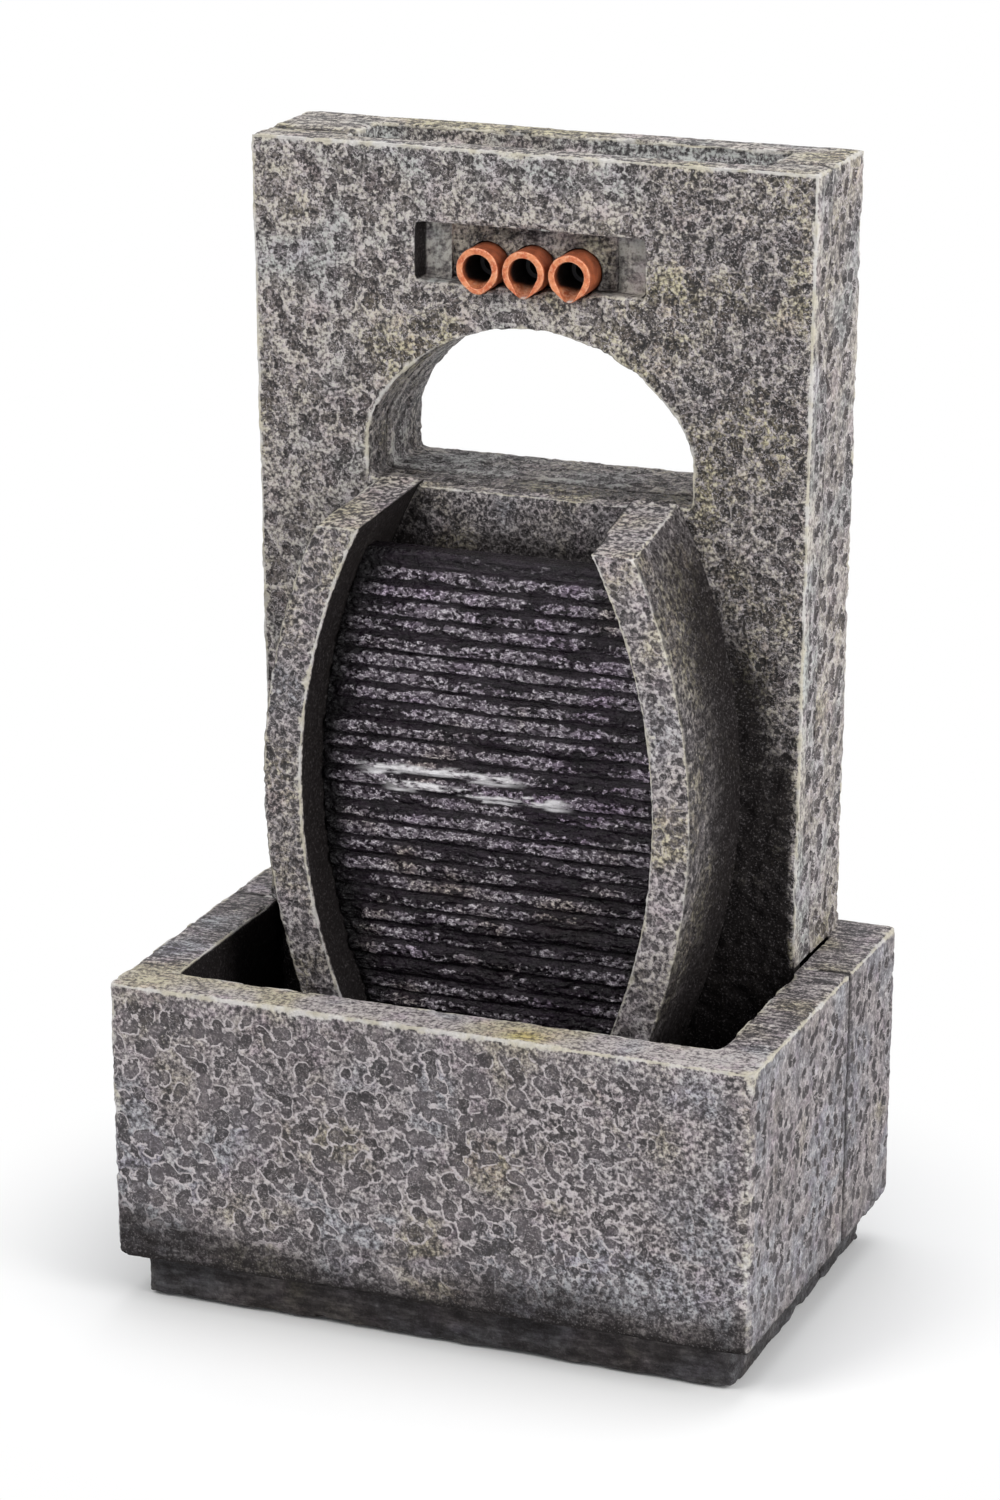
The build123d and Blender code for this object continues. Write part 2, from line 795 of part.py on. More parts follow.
with BuildPart() as pump_housing:
    with BuildSketch(pump_plane(pump_mouth_x)):
        RectangleRounded(pump_width, pump_height, pump_corner_radius)
    extrude(amount=pump_length)
    with BuildSketch(pump_plane(pump_mouth_x + pump_wall)):
        RectangleRounded(
            pump_width - 2 * pump_wall,
            pump_height - 2 * pump_wall,
            pump_corner_radius - pump_wall,
        )
        Circle(can_radius, mode=Mode.SUBTRACT)
    extrude(amount=pump_length - pump_wall, mode=Mode.SUBTRACT)
    with BuildSketch(pump_plane(can_end_x)):
        Circle(can_radius)
    extrude(amount=pump_rear_x - can_end_x, mode=Mode.SUBTRACT)
    with BuildSketch(pump_plane(pump_mouth_x)):
        Circle(well_radius)
    extrude(amount=well_depth - bush_length, mode=Mode.SUBTRACT)
    with BuildSketch(pump_plane(pump_mouth_x)):
        Circle(bush_radius + bush_fit)
    extrude(amount=well_depth, mode=Mode.SUBTRACT)
    with BuildSketch(pump_plane(pump_mouth_x)):
        Circle(seal_outer_radius)
        Circle(seal_inner_radius, mode=Mode.SUBTRACT)
    extrude(amount=seal_sink, mode=Mode.SUBTRACT)
pump_housing.part.label = "pump_housing"
export_step(pump_housing.part, "parts/pump_housing.step")

# Stator: a laminated yoke with an arm above and below the rotor's can, and the coil on its web

arm_inner = can_radius + core_gap
arm_outer = arm_inner + core_arm_height
coil_inner_x = can_end_x + coil_clearance + coil_thickness
web_front_x = coil_inner_x + coil_clearance
web_rear_x = web_front_x + core_web

core_plane = Plane(
    origin=(0, service_y - core_width / 2, pump_axis_height),
    x_dir=(1, 0, 0),
    z_dir=(0, -1, 0),
)

with BuildPart() as stator_core:
    with BuildSketch(core_plane):
        with BuildLine():
            Polyline(
                (pump_mouth_x + core_front_inset, arm_inner),
                (pump_mouth_x + core_front_inset, arm_outer),
                (web_rear_x, arm_outer),
                (web_rear_x, -arm_outer),
                (pump_mouth_x + core_front_inset, -arm_outer),
                (pump_mouth_x + core_front_inset, -arm_inner),
                (web_front_x, -arm_inner),
                (web_front_x, arm_inner),
                close=True,
            )
        make_face()
    extrude(amount=-core_width)
stator_core.part.label = "stator_core"
export_step(stator_core.part, "parts/stator_core.step")

with BuildPart() as stator_coil:
    with BuildSketch(Plane.XY.offset(pump_axis_height)):
        with Locations(((web_front_x + web_rear_x) / 2, service_y)):
            RectangleRounded(
                core_web + 2 * (coil_clearance + coil_thickness),
                core_width + 2 * (coil_clearance + coil_thickness),
                coil_thickness,
            )
            Rectangle(
                core_web + 2 * coil_clearance,
                core_width + 2 * coil_clearance,
                mode=Mode.SUBTRACT,
            )
    extrude(amount=arm_inner - coil_clearance, both=True)
stator_coil.part.label = "stator_coil"
export_step(stator_coil.part, "parts/stator_coil.step")

with BuildPart() as pump_end_plate:
    with BuildSketch(pump_plane(pump_rear_x)):
        RectangleRounded(pump_width, pump_height, pump_corner_radius)
    extrude(amount=end_plate_thickness)
    with BuildSketch(pump_plane(pump_rear_x)):
        RectangleRounded(
            pump_width - 2 * (pump_wall + end_plate_fit),
            pump_height - 2 * (pump_wall + end_plate_fit),
            pump_corner_radius - pump_wall,
        )
    extrude(amount=-end_plate_spigot)
    with BuildSketch(pump_plane(pump_rear_x - end_plate_spigot)):
        Circle(gland_stem_radius + gland_fit)
    extrude(amount=end_plate_spigot + end_plate_thickness, mode=Mode.SUBTRACT)
pump_end_plate.part.label = "pump_end_plate"
export_step(pump_end_plate.part, "parts/pump_end_plate.step")

gland_seat_x = pump_rear_x + end_plate_thickness

with BuildPart() as cable_gland:
    with BuildSketch(pump_plane(gland_seat_x - end_plate_thickness)):
        Circle(gland_stem_radius)
    extrude(amount=end_plate_thickness)
    with BuildSketch(pump_plane(gland_seat_x)):
        Circle(gland_flange_radius)
    extrude(amount=gland_flange_thickness)
    with BuildSketch(pump_plane(gland_seat_x + gland_flange_thickness)):
        Circle(gland_nose_radius)
    extrude(amount=gland_nose_length)
    with BuildSketch(pump_plane(gland_seat_x - end_plate_thickness)):
        Circle(gland_bore_radius)
    extrude(
        amount=end_plate_thickness + gland_flange_thickness + gland_nose_length,
        mode=Mode.SUBTRACT,
    )
cable_gland.part.label = "cable_gland"
export_step(cable_gland.part, "parts/cable_gland.step")

# Volute: the impeller's chamber, a spoked inlet that holds the shaft, and the nozzle on top

spider_rear_x = pump_mouth_x - chamber_depth

with BuildPart() as volute_cover:
    with BuildSketch(pump_plane(volute_front_x)):
        RectangleRounded(volute_width, volute_width, volute_corner_radius)
    extrude(amount=volute_length)
    with BuildSketch(Plane(origin=(nozzle_x, service_y, pump_axis_height))):
        Circle(nozzle_base_radius)
    extrude(amount=pump_top_height - pump_axis_height)
    with BuildSketch(Plane(origin=(nozzle_x, service_y, pump_top_height))):
        Circle(nipple_radius)
    extrude(amount=nipple_length)
    with BuildSketch(pump_plane(spider_rear_x)):
        Circle(chamber_radius)
    extrude(amount=chamber_depth, mode=Mode.SUBTRACT)
    with BuildSketch(pump_plane(volute_front_x)):
        Circle(inlet_radius)
    extrude(amount=volute_length - chamber_depth, mode=Mode.SUBTRACT)
    with BuildSketch(pump_plane(volute_front_x)):
        Circle(spider_boss_radius)
        with PolarLocations(0, 3):
            Rectangle(
                inlet_radius + spider_spoke_overrun,
                spider_spoke_width,
                align=(Align.MIN, Align.CENTER),
            )
    extrude(amount=volute_length - chamber_depth)
    with BuildSketch(pump_plane(spider_rear_x)):
        Circle(bush_radius + bush_fit)
    extrude(amount=-bush_length, mode=Mode.SUBTRACT)
    with BuildSketch(Plane(origin=(nozzle_x, service_y, pump_axis_height + chamber_radius / 2))):
        Circle(nipple_bore_radius)
    extrude(amount=pump_top_height + nipple_length - pump_axis_height, mode=Mode.SUBTRACT)
volute_cover.part.label = "volute_cover"
export_step(volute_cover.part, "parts/volute_cover.step")

with BuildPart() as volute_seal:
    with BuildSketch(pump_plane(pump_mouth_x)):
        Circle(seal_outer_radius - bush_fit)
        Circle(seal_inner_radius + bush_fit, mode=Mode.SUBTRACT)
    extrude(amount=seal_sink)
volute_seal.part.label = "volute_seal"
export_step(volute_seal.part, "parts/volute_seal.step")

# Impeller on its magnet rotor, turning on a fixed ceramic shaft held in two bushes

shaft_front_x = spider_rear_x - bush_length
shaft_rear_x = pump_mouth_x + well_depth
plate_front_x = pump_mouth_x - impeller_plate_gap - impeller_plate

with BuildPart() as impeller_rotor:
    with BuildSketch(pump_plane(plate_front_x)):
        Circle(impeller_radius)
    extrude(amount=impeller_plate)
    with BuildSketch(pump_plane(plate_front_x)):
        Circle(bush_radius + blade_thickness)
        with PolarLocations(0, blade_count):
            Rectangle(impeller_radius, blade_thickness, align=(Align.MIN, Align.CENTER))
        Circle(impeller_radius, mode=Mode.INTERSECT)
    extrude(amount=-blade_height)
    with BuildSketch(pump_plane(plate_front_x + impeller_plate)):
        Circle(rotor_radius)
    extrude(amount=rotor_length)
    with BuildSketch(pump_plane(plate_front_x - blade_height)):
        Circle(shaft_radius + shaft_running_gap)
    extrude(amount=blade_height + impeller_plate + rotor_length, mode=Mode.SUBTRACT)
impeller_rotor.part.label = "impeller_rotor"
export_step(impeller_rotor.part, "parts/impeller_rotor.step")

with BuildPart() as impeller_shaft:
    with BuildSketch(pump_plane(shaft_front_x)):
        Circle(shaft_radius)
    extrude(amount=shaft_rear_x - shaft_front_x)
impeller_shaft.part.label = "impeller_shaft"
export_step(impeller_shaft.part, "parts/impeller_shaft.step")

with BuildPart() as shaft_bushes:
    for bush_x in (shaft_front_x, shaft_rear_x - bush_length):
        with BuildSketch(pump_plane(bush_x)):
            Circle(bush_radius)
            Circle(shaft_radius + bush_fit, mode=Mode.SUBTRACT)
        extrude(amount=bush_length)
shaft_bushes.part.label = "shaft_bushes"
export_step(shaft_bushes.part, "parts/shaft_bushes.step")

# Strainer: a slotted cap that slides off the front of the volute

strainer_front_x = volute_front_x - strainer_gap - strainer_plate
strainer_width = volute_width + 2 * (strainer_gap + strainer_wall)

with BuildPart() as strainer_cover:
    with BuildSketch(pump_plane(strainer_front_x)):
        RectangleRounded(
            strainer_width,
            strainer_width,
            volute_corner_radius + strainer_gap + strainer_wall,
        )
    extrude(amount=strainer_plate + strainer_skirt)
    with BuildSketch(pump_plane(strainer_front_x + strainer_plate)):
        RectangleRounded(
            volute_width + 2 * strainer_gap,
            volute_width + 2 * strainer_gap,
            volute_corner_radius + strainer_gap,
        )
    extrude(amount=strainer_skirt, mode=Mode.SUBTRACT)
    with BuildSketch(pump_plane(strainer_front_x)):
        with GridLocations(strainer_slot_pitch, 0, strainer_slot_count, 1):
            Rectangle(strainer_slot_width, strainer_slot_height)
        Circle(spider_boss_radius, mode=Mode.SUBTRACT)
    extrude(amount=strainer_plate, mode=Mode.SUBTRACT)
    with BuildSketch(pump_plane(strainer_front_x)):
        Circle(dial_pin_radius + shaft_running_gap)
    extrude(amount=strainer_plate, mode=Mode.SUBTRACT)
strainer_cover.part.label = "strainer_cover"
export_step(strainer_cover.part, "parts/strainer_cover.step")

# Flow dial: a disc with four windows and a thumb bar, on a pin through the strainer's middle

dial_rear_x = strainer_front_x - dial_gap

with BuildPart() as flow_dial:
    with BuildSketch(pump_plane(dial_rear_x)):
        Circle(dial_radius)
        with PolarLocations(dial_window_circle, 4):
            Circle(dial_window_radius, mode=Mode.SUBTRACT)
    extrude(amount=-dial_thickness)
    with BuildSketch(pump_plane(dial_rear_x - dial_thickness)):
        Rectangle(dial_knob_width, 2 * dial_radius)
        Circle(dial_radius, mode=Mode.INTERSECT)
    extrude(amount=-dial_knob_height)
    with BuildSketch(pump_plane(dial_rear_x)):
        Circle(dial_pin_radius)
    extrude(amount=dial_gap + strainer_plate)
flow_dial.part.label = "flow_dial"
export_step(flow_dial.part, "parts/flow_dial.step")

# Suction cups under the pump: a flared rim on the basin floor and a neck to the housing

pump_middle_x = pump_mouth_x + pump_length / 2
cup_grid_middle = (pump_middle_x, service_y)

with BuildPart() as suction_cups:
    with Locations((*cup_grid_middle, basin_floor_height)):
        with GridLocations(cup_spacing_x, cup_spacing_y, 2, 2):
            Cone(
                cup_rim_radius,
                cup_neck_radius,
                cup_height / 2,
                align=(Align.CENTER, Align.CENTER, Align.MIN),
            )
    with Locations((*cup_grid_middle, basin_floor_height + cup_height / 2)):
        with GridLocations(cup_spacing_x, cup_spacing_y, 2, 2):
            Cylinder(
                cup_neck_radius,
                cup_height / 2,
                align=(Align.CENTER, Align.CENTER, Align.MIN),
            )
suction_cups.part.label = "suction_cups"
export_step(suction_cups.part, "parts/suction_cups.step")

# Access cover with its pegs, the rubber grommets that grip them, and the cord's grommet

with BuildPart() as access_cover:
    with BuildSketch(rear_plane(cover_seat_y)):
        RectangleRounded(cover_width, cover_height, cover_corner_radius - cover_gap)
        with Locations((0, -cord_hole_drop)):
            Circle(cord_grommet_radius + grommet_fit, mode=Mode.SUBTRACT)
    extrude(amount=cover_thickness)
    with BuildSketch(rear_plane(cover_seat_y)):
        with GridLocations(peg_spacing_x, peg_spacing_z, 2, 2):
            Circle(peg_radius)
    extrude(amount=-peg_length)
access_cover.part.label = "access_cover"
export_step(access_cover.part, "parts/access_cover.step")

with BuildPart() as cover_grommets:
    with BuildSketch(rear_plane(cover_seat_y)):
        with GridLocations(peg_spacing_x, peg_spacing_z, 2, 2):
            Circle(grommet_radius)
    extrude(amount=cover_sink - shell_wall)
    with BuildSketch(rear_plane(wall_rear_y - shell_wall)):
        with GridLocations(peg_spacing_x, peg_spacing_z, 2, 2):
            Circle(grommet_flange_radius)
    extrude(amount=-grommet_flange)
    with BuildSketch(rear_plane(cover_seat_y)):
        with GridLocations(peg_spacing_x, peg_spacing_z, 2, 2):
            Circle(peg_radius + grommet_gap)
    extrude(amount=cover_sink - shell_wall - grommet_flange, mode=Mode.SUBTRACT)
cover_grommets.part.label = "cover_grommets"
export_step(cover_grommets.part, "parts/cover_grommets.step")

cover_face_y = cover_seat_y + cover_thickness

with BuildPart() as cord_grommet:
    with BuildSketch(rear_plane(cover_seat_y)):
        with Locations((0, -cord_hole_drop)):
            Circle(cord_grommet_radius)
    extrude(amount=cover_thickness)
    with BuildSketch(rear_plane(cover_face_y)):
        with Locations((0, -cord_hole_drop)):
            Circle(cord_grommet_flange_radius)
    extrude(amount=cord_grommet_flange)
    with BuildSketch(rear_plane(cover_seat_y)):
        with Locations((0, -cord_hole_drop)):
            Circle(cord_grommet_flange_radius)
    extrude(amount=-cord_grommet_flange)
    with BuildSketch(rear_plane(cover_seat_y - cord_grommet_flange)):
        with Locations((0, -cord_hole_drop)):
            Circle(cord_grommet_bore_radius)
    extrude(amount=cover_thickness + 2 * cord_grommet_flange, mode=Mode.SUBTRACT)
cord_grommet.part.label = "cord_grommet"
export_step(cord_grommet.part, "parts/cord_grommet.step")
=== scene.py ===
import json
import math

import bpy
import numpy as np
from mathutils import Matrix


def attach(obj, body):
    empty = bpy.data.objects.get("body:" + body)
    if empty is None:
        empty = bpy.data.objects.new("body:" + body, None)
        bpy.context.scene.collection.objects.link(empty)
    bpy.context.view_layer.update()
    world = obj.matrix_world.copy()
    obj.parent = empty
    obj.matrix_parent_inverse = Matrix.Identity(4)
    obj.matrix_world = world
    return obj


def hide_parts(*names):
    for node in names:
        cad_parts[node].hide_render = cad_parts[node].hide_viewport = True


# Stone tabletop fountain. Sizes below are millimetres in the part's own frame:
# x to the right, y to the rear, z up from the table. toMetres brings them to the scene.

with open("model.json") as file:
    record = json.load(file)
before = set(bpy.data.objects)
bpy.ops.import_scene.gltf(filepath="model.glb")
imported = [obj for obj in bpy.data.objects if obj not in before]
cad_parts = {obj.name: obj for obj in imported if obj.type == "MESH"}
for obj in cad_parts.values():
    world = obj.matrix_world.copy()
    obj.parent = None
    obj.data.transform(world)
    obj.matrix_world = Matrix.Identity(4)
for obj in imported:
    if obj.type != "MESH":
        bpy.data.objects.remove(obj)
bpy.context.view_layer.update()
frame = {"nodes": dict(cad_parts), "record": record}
toMetres = 0.001
coarse = 1.0
print("frame loaded, nodes:", len(frame["nodes"]))

view = {
    "place": (0.6253, -1.5714, 0.7400),
    "turn": (72.455, 0.0, 21.808),
    "lens": 116.14,
    "sensor": 36.0,
    "near": 0.05,
    "far": 30.0,
}
light = {
    "world": 0.55,
    "air": (0.95, 0.97, 1.0),
    "aim": (0.0, 0.0, 0.2),
    "key": {"place": (-1.1, -1.5, 1.9), "size": 1.3, "power": 26.0, "colour": (1.0, 0.985, 0.96)},
    "side": {"place": (1.9, -0.5, 1.1), "size": 1.2, "power": 30.0, "colour": (1.0, 0.99, 0.975)},
    "top": {"place": (0.1, 0.5, 2.0), "size": 1.2, "power": 12.0, "colour": (1.0, 1.0, 1.0)},
}
floor = {"half": 4.0, "colour": (0.88, 0.88, 0.88), "shadowTo": 0.14, "whiteFrom": 0.24}  # metres


def makeCamera():
    data = bpy.data.cameras.new("photoCamera")
    data.lens = view["lens"]
    data.sensor_width = view["sensor"]
    data.sensor_fit = "AUTO"
    data.clip_start = view["near"]
    data.clip_end = view["far"]
    camera = bpy.data.objects.new("photoCamera", data)
    bpy.context.scene.collection.objects.link(camera)
    camera.location = view["place"]
    camera.rotation_euler = [math.radians(angle) for angle in view["turn"]]
    bpy.context.scene.camera = camera


# a square soft box that looks at the fountain
def makeLamp(name, lamp):
    data = bpy.data.lights.new(name, "AREA")
    data.shape = "SQUARE"
    data.size = lamp["size"]
    data.energy = lamp["power"]
    data.color = lamp["colour"]
    box = bpy.data.objects.new(name, data)
    bpy.context.scene.collection.objects.link(box)
    box.location = lamp["place"]
    aim = np.array(light["aim"]) - np.array(lamp["place"])
    flat = math.hypot(aim[0], aim[1])
    box.rotation_euler = (math.atan2(flat, -aim[2]), 0.0, math.atan2(aim[0], -aim[1]) + math.pi)


# a node with its settings, and its inputs from numbers or from other nodes
def put(tree, kind, settings=None, inputs=None):
    made = tree.nodes.new(kind)
    for key, value in (settings or {}).items():
        setattr(made, key, value)
    for key, value in (inputs or {}).items():
        value = getattr(value, "socket", value)
        if isinstance(value, bpy.types.NodeSocket):
            tree.links.new(value, made.inputs[key])
        else:
            made.inputs[key].default_value = value
    return made


# what a node gives out; adding, subtracting or multiplying such values makes a Math node
class Flow:
    def __init__(self, made, output=0):
        self.tree = made.id_data
        self.socket = made.outputs[output]

    def math(self, operation, first, second=0.0):
        return Flow(put(self.tree, "ShaderNodeMath", {"operation": operation}, {0: first, 1: second}))

    def __add__(self, other):
        return self.math("ADD", self, other)

    def __mul__(self, other):
        return self.math("MULTIPLY", self, other)

    def __sub__(self, other):
        return self.math("SUBTRACT", self, other)

    def __rsub__(self, other):
        return self.math("SUBTRACT", other, self)

    def __abs__(self):
        return self.math("ABSOLUTE", self)

    # the last sum, clamped to 0 to 1
    def clamped(self):
        self.socket.node.use_clamp = True
        return self


# 0 at low, 1 at high, smooth between; low may be the larger one
def eased(value, low, high):
    inputs = {"Value": value, "From Min": low, "From Max": high}
    return Flow(put(value.tree, "ShaderNodeMapRange", {"interpolation_type": "SMOOTHSTEP"}, inputs), "Result")


# two colours mixed by a share of the second; a colour is three numbers or comes from a node
def blended(share, first, second, way="MIX"):
    first, second = ((*colour, 1) if isinstance(colour, tuple) else colour for colour in (first, second))
    settings = {"data_type": "RGBA", "blend_type": way, "clamp_factor": True}
    return Flow(put(share.tree, "ShaderNodeMix", settings, {0: share, 6: first, 7: second}), 2)


# a colour multiplied into another by a share
def tinted(share, colour, tint):
    return blended(share, colour, tint, "MULTIPLY")


# a noise about zero, times a strength
def swing(noise, strength):
    return (noise - 0.5) * strength


def stretched(where, by):
    return Flow(put(where.tree, "ShaderNodeVectorMath", {"operation": "MULTIPLY"}, {0: where, 1: by}))


# cloudy noise with features of a size in millimetres
def clouds(where, size, detail=3.0, roughness=0.55, distortion=0.0):
    inputs = {"Vector": where, "Scale": 1000.0 / size, "Detail": detail, "Roughness": roughness}
    inputs["Distortion"] = distortion
    return Flow(put(where.tree, "ShaderNodeTexNoise", {"noise_dimensions": "3D"}, inputs), "Fac")


# the named attributes of the mesh, one after the other
def readings(tree, names):
    return [Flow(put(tree, "ShaderNodeAttribute", {"attribute_name": name}), "Fac") for name in names.split()]


# the colour of a level between 0 and 1 on an even row of shades
def shaded(level, shades):
    made = put(level.tree, "ShaderNodeValToRGB", None, {0: level})
    bar = made.color_ramp.elements
    bar.remove(bar[1])
    bar[0].color = (*shades[0], 1)
    for number, shade in enumerate(shades[1:], 1):
        bar.new(number / (len(shades) - 1)).color = (*shade, 1)
    return Flow(made, "Color")


def emptyMaterial(name):
    material = bpy.data.materials.new(name)
    material.use_nodes = True
    tree = material.node_tree
    tree.nodes.clear()
    return material, tree, Flow(put(tree, "ShaderNodeTexCoord"), "Object")


def showsSurface(tree, shader):
    put(tree, "ShaderNodeOutputMaterial", None, {"Surface": shader.outputs[0]})


# ends a material with a Principled shader, on a fine relief so many metres deep
def coated(tree, height, strength, deep, inputs):
    bump = put(tree, "ShaderNodeBump", None, {"Strength": strength, "Distance": deep, "Height": height})
    showsSurface(tree, put(tree, "ShaderNodeBsdfPrincipled", None, {"Normal": bump.outputs[0], **inputs}))


# camera, glossy and transmission rays see plain white by the share, all other rays see the shader
def whiteBehind(tree, shader, share=None):
    path = put(tree, "ShaderNodeLightPath")
    seen = Flow(path, "Is Camera Ray") + Flow(path, "Is Glossy Ray")
    seen = (seen + Flow(path, "Is Transmission Ray")).clamped()
    if share is not None:
        seen = seen * share
    kind = "ShaderNodeBackground" if shader.type == "BACKGROUND" else "ShaderNodeEmission"
    white = put(tree, kind, None, {"Color": (1, 1, 1, 1), "Strength": 1.0})
    return put(tree, "ShaderNodeMixShader", None, {0: seen, 1: shader.outputs[0], 2: white.outputs[0]})


def makeWorld():
    world = bpy.data.worlds.new("studio")
    bpy.context.scene.world = world
    world.use_nodes = True
    tree = world.node_tree
    tree.nodes.clear()
    air = put(tree, "ShaderNodeBackground", None, {"Color": (*light["air"], 1), "Strength": light["world"]})
    put(tree, "ShaderNodeOutputWorld", None, {"Surface": whiteBehind(tree, air).outputs[0]})


# a flat square under the rubber pads: it takes the shadow near the basin and is plain white further out
def makeFloor():
    half = floor["half"]
    mesh = bpy.data.meshes.new("floor")
    corners = [(-half, -half, 0), (half, -half, 0), (half, half, 0), (-half, half, 0)]
    mesh.from_pydata(corners, [], [(0, 1, 2, 3)])
    square = bpy.data.objects.new("floor", mesh)
    bpy.context.scene.collection.objects.link(square)
    material, tree, where = emptyMaterial("paleFloor")
    matt = put(tree, "ShaderNodeBsdfDiffuse", None, {"Color": (*floor["colour"], 1)})
    away = Flow(put(tree, "ShaderNodeVectorMath", {"operation": "LENGTH"}, {0: where}), "Value")
    showsSurface(tree, whiteBehind(tree, matt, eased(away, floor["shadowTo"], floor["whiteFrom"])))
    mesh.materials.append(material)


bpy.context.scene.view_settings.view_transform = "Standard"
makeCamera()
makeWorld()
makeFloor()
for lampName in ("key", "side", "top"):
    makeLamp(lampName, light[lampName])
print("camera, floor and light made")


# a number from 0 to 1 for each lattice point, mixed from its whole-number address
def hashed(i, j, k, seed):
    h = (i * 374761393 + j * 668265263 + k * 1274126177 + seed * 974634777) & 0xFFFFFFFF
    h = ((h ^ (h >> 13)) * 1103515245 + 12345) & 0xFFFFFFFF
    h = ((h ^ (h >> 11)) * 747796405 + 2891336453) & 0xFFFFFFFF
    h = h ^ (h >> 15)
    return (h & 0xFFFFFF) / float(0x1000000)


# value noise from -1 to 1: the eight lattice corners round a point, blended smoothly
def cloudy(points, size, seed):
    scaled = points / np.asarray(size, float)
    low = np.floor(scaled).astype(np.int64)
    part = scaled - low
    part = part * part * (3 - 2 * part)
    total = np.zeros(len(points))
    for dx in (0, 1):
        wx = part[:, 0] if dx else 1 - part[:, 0]
        for dy in (0, 1):
            wy = part[:, 1] if dy else 1 - part[:, 1]
            for dz in (0, 1):
                wz = part[:, 2] if dz else 1 - part[:, 2]
                total += wx * wy * wz * hashed(low[:, 0] + dx, low[:, 1] + dy, low[:, 2] + dz, seed)
    return 2 * total - 1


# octaves of cloudy noise, each half as large and a little over half as strong
def rough(points, size, octaves, seed):
    total = np.zeros(len(points))
    share = 0.0
    for octave in range(octaves):
        gain = 0.58**octave
        total += gain * cloudy(points, np.asarray(size, float) / 2**octave, seed + octave)
        share += gain
    return total / share


# the noise of a piece: its own seed and a number give each use another pattern
def noiseOf(points, seed):
    return lambda size, octaves, number: rough(points, size, octaves, seed + number)


# a number from 0 to 1 for each point, like a grain of sand
def grit(points, seed, fineness=977.0):
    return hashed(*(points * fineness).astype(np.int64).T, seed)


# Millimetres from each point to the edge of the nearest dent, below zero inside it, and a number of
# that dent's own. The pattern lies flat on each side of the stone, in cells. A cell may hold one
# oval, turned and squeezed its own way. Where two overlap, the value comes back to zero on the
# line that is equally near to both.
def dentField(points, normals, dents, seed):
    sideways, upward = np.abs(normals[:, 0]) > 0.6, np.abs(normals[:, 2]) > 0.6
    side = np.where(sideways, 1, np.where(upward, 2, 0)) + 3 * (normals.sum(axis=1) > 0)
    flat = [np.where(sideways, points[:, 1], points[:, 0]), np.where(upward, points[:, 1], points[:, 2])]
    for axis in (0, 1):
        flat[axis] = flat[axis] + dents["waver"] * rough(points, 3.6, 2, seed + 50 + 5 * axis)
    wide, tall = dents["cell"]
    small, large = dents["radius"]
    cellA, cellB = np.floor(flat[0] / wide).astype(np.int64), np.floor(flat[1] / tall).astype(np.int64)
    plain = 1 - dents["bare"] * ramp(rough(points, 26.0, 2, seed + 49), 0.05, 0.5)
    first = np.full(len(points), 9.0)
    second = np.full(len(points), 9.5)
    own = np.zeros(len(points))
    for da in (-1, 0, 1):
        for db in (-1, 0, 1):
            a, b = cellA + da, cellB + db
            luck = [hashed(a, b, side, seed + n) for n in range(1, 8)]
            gapA = flat[0] - (a + 0.12 + 0.76 * luck[0]) * wide
            gapB = flat[1] - (b + 0.12 + 0.76 * luck[1]) * tall
            turn = math.pi * luck[2]
            squeeze = 1 + dents["oval"] * luck[3]
            along = (gapA * np.cos(turn) + gapB * np.sin(turn)) / squeeze
            over = (gapB * np.cos(turn) - gapA * np.sin(turn)) * squeeze
            reach = np.hypot(along, over) - small - (large - small) * luck[4]
            reach = np.where(luck[5] < dents["present"] * plain, reach, 9.0)
            closer = reach < first
            second = np.where(closer, first, np.minimum(second, reach))
            own = np.where(closer, luck[6], own)
            first = np.where(closer, reach, first)
    inside = -np.minimum(-first, (second - first) / 2)
    return np.where(first < 0, inside, first), own


# 0 at low, 1 at high, smooth between; low may be the larger one
def ramp(value, low, high):
    share = np.clip((value - low) / (high - low), 0, 1)
    return share * share * (3 - 2 * share)


# a bell curve: 1 at the middle, near 0 from twice the width outwards
def bell(value, middle, width):
    return np.exp(-(((value - middle) / width) ** 2))


# a row of places from knot to knot, each stretch divided evenly at about one step
def places(knots, step):
    row = [np.array([knots[0]], float)]
    for a, b in zip(knots[:-1], knots[1:]):
        count = max(1, int(round(abs(b - a) / step)))
        row.append(np.linspace(a, b, count + 1)[1:])
    return np.concatenate(row)


def nearestIndex(row, value):
    return int(np.argmin(np.abs(row - value)))


def between(row):
    return (row[1:] + row[:-1]) / 2


# the middles of a lattice's cells, and its corners, each as x, y and z
def cellsAndCorners(across, deep, up):
    middles = np.meshgrid(between(across), between(deep), between(up), indexing="ij")
    return middles, np.meshgrid(across, deep, up, indexing="ij")


# quads between a full cell and an empty one, as numbers of lattice corners, facing out
def blockSkin(solid):
    size = np.array(solid.shape) + 1
    full = np.pad(solid, 1).astype(np.int8)
    quads = []
    for axis in range(3):
        change = np.diff(full, axis=axis)
        u, v = (axis + 1) % 3, (axis + 2) % 3
        for sign in (-1, 1):
            at = np.stack(np.nonzero(change == sign), axis=1)
            at[:, u] -= 1
            at[:, v] -= 1
            corners = []
            for du, dv in ((0, 0), (1, 0), (1, 1), (0, 1)):
                corner = at.copy()
                corner[:, u] += du
                corner[:, v] += dv
                corners.append((corner[:, 0] * size[1] + corner[:, 1]) * size[2] + corner[:, 2])
            if sign == 1:
                corners.reverse()
            quads.append(np.stack(corners, axis=1))
    return np.concatenate(quads)


# the skin of the solid cells: the lattice corners that it uses, its quads and its normals
def skinOf(lattice, solid, turned=False):
    quads = blockSkin(solid)[:, ::-1 if turned else 1]
    used, again = np.unique(quads, return_inverse=True)
    points, quads = lattice.reshape(-1, 3)[used], again.reshape(quads.shape)
    return points, quads, vertexNormals(points, quads)


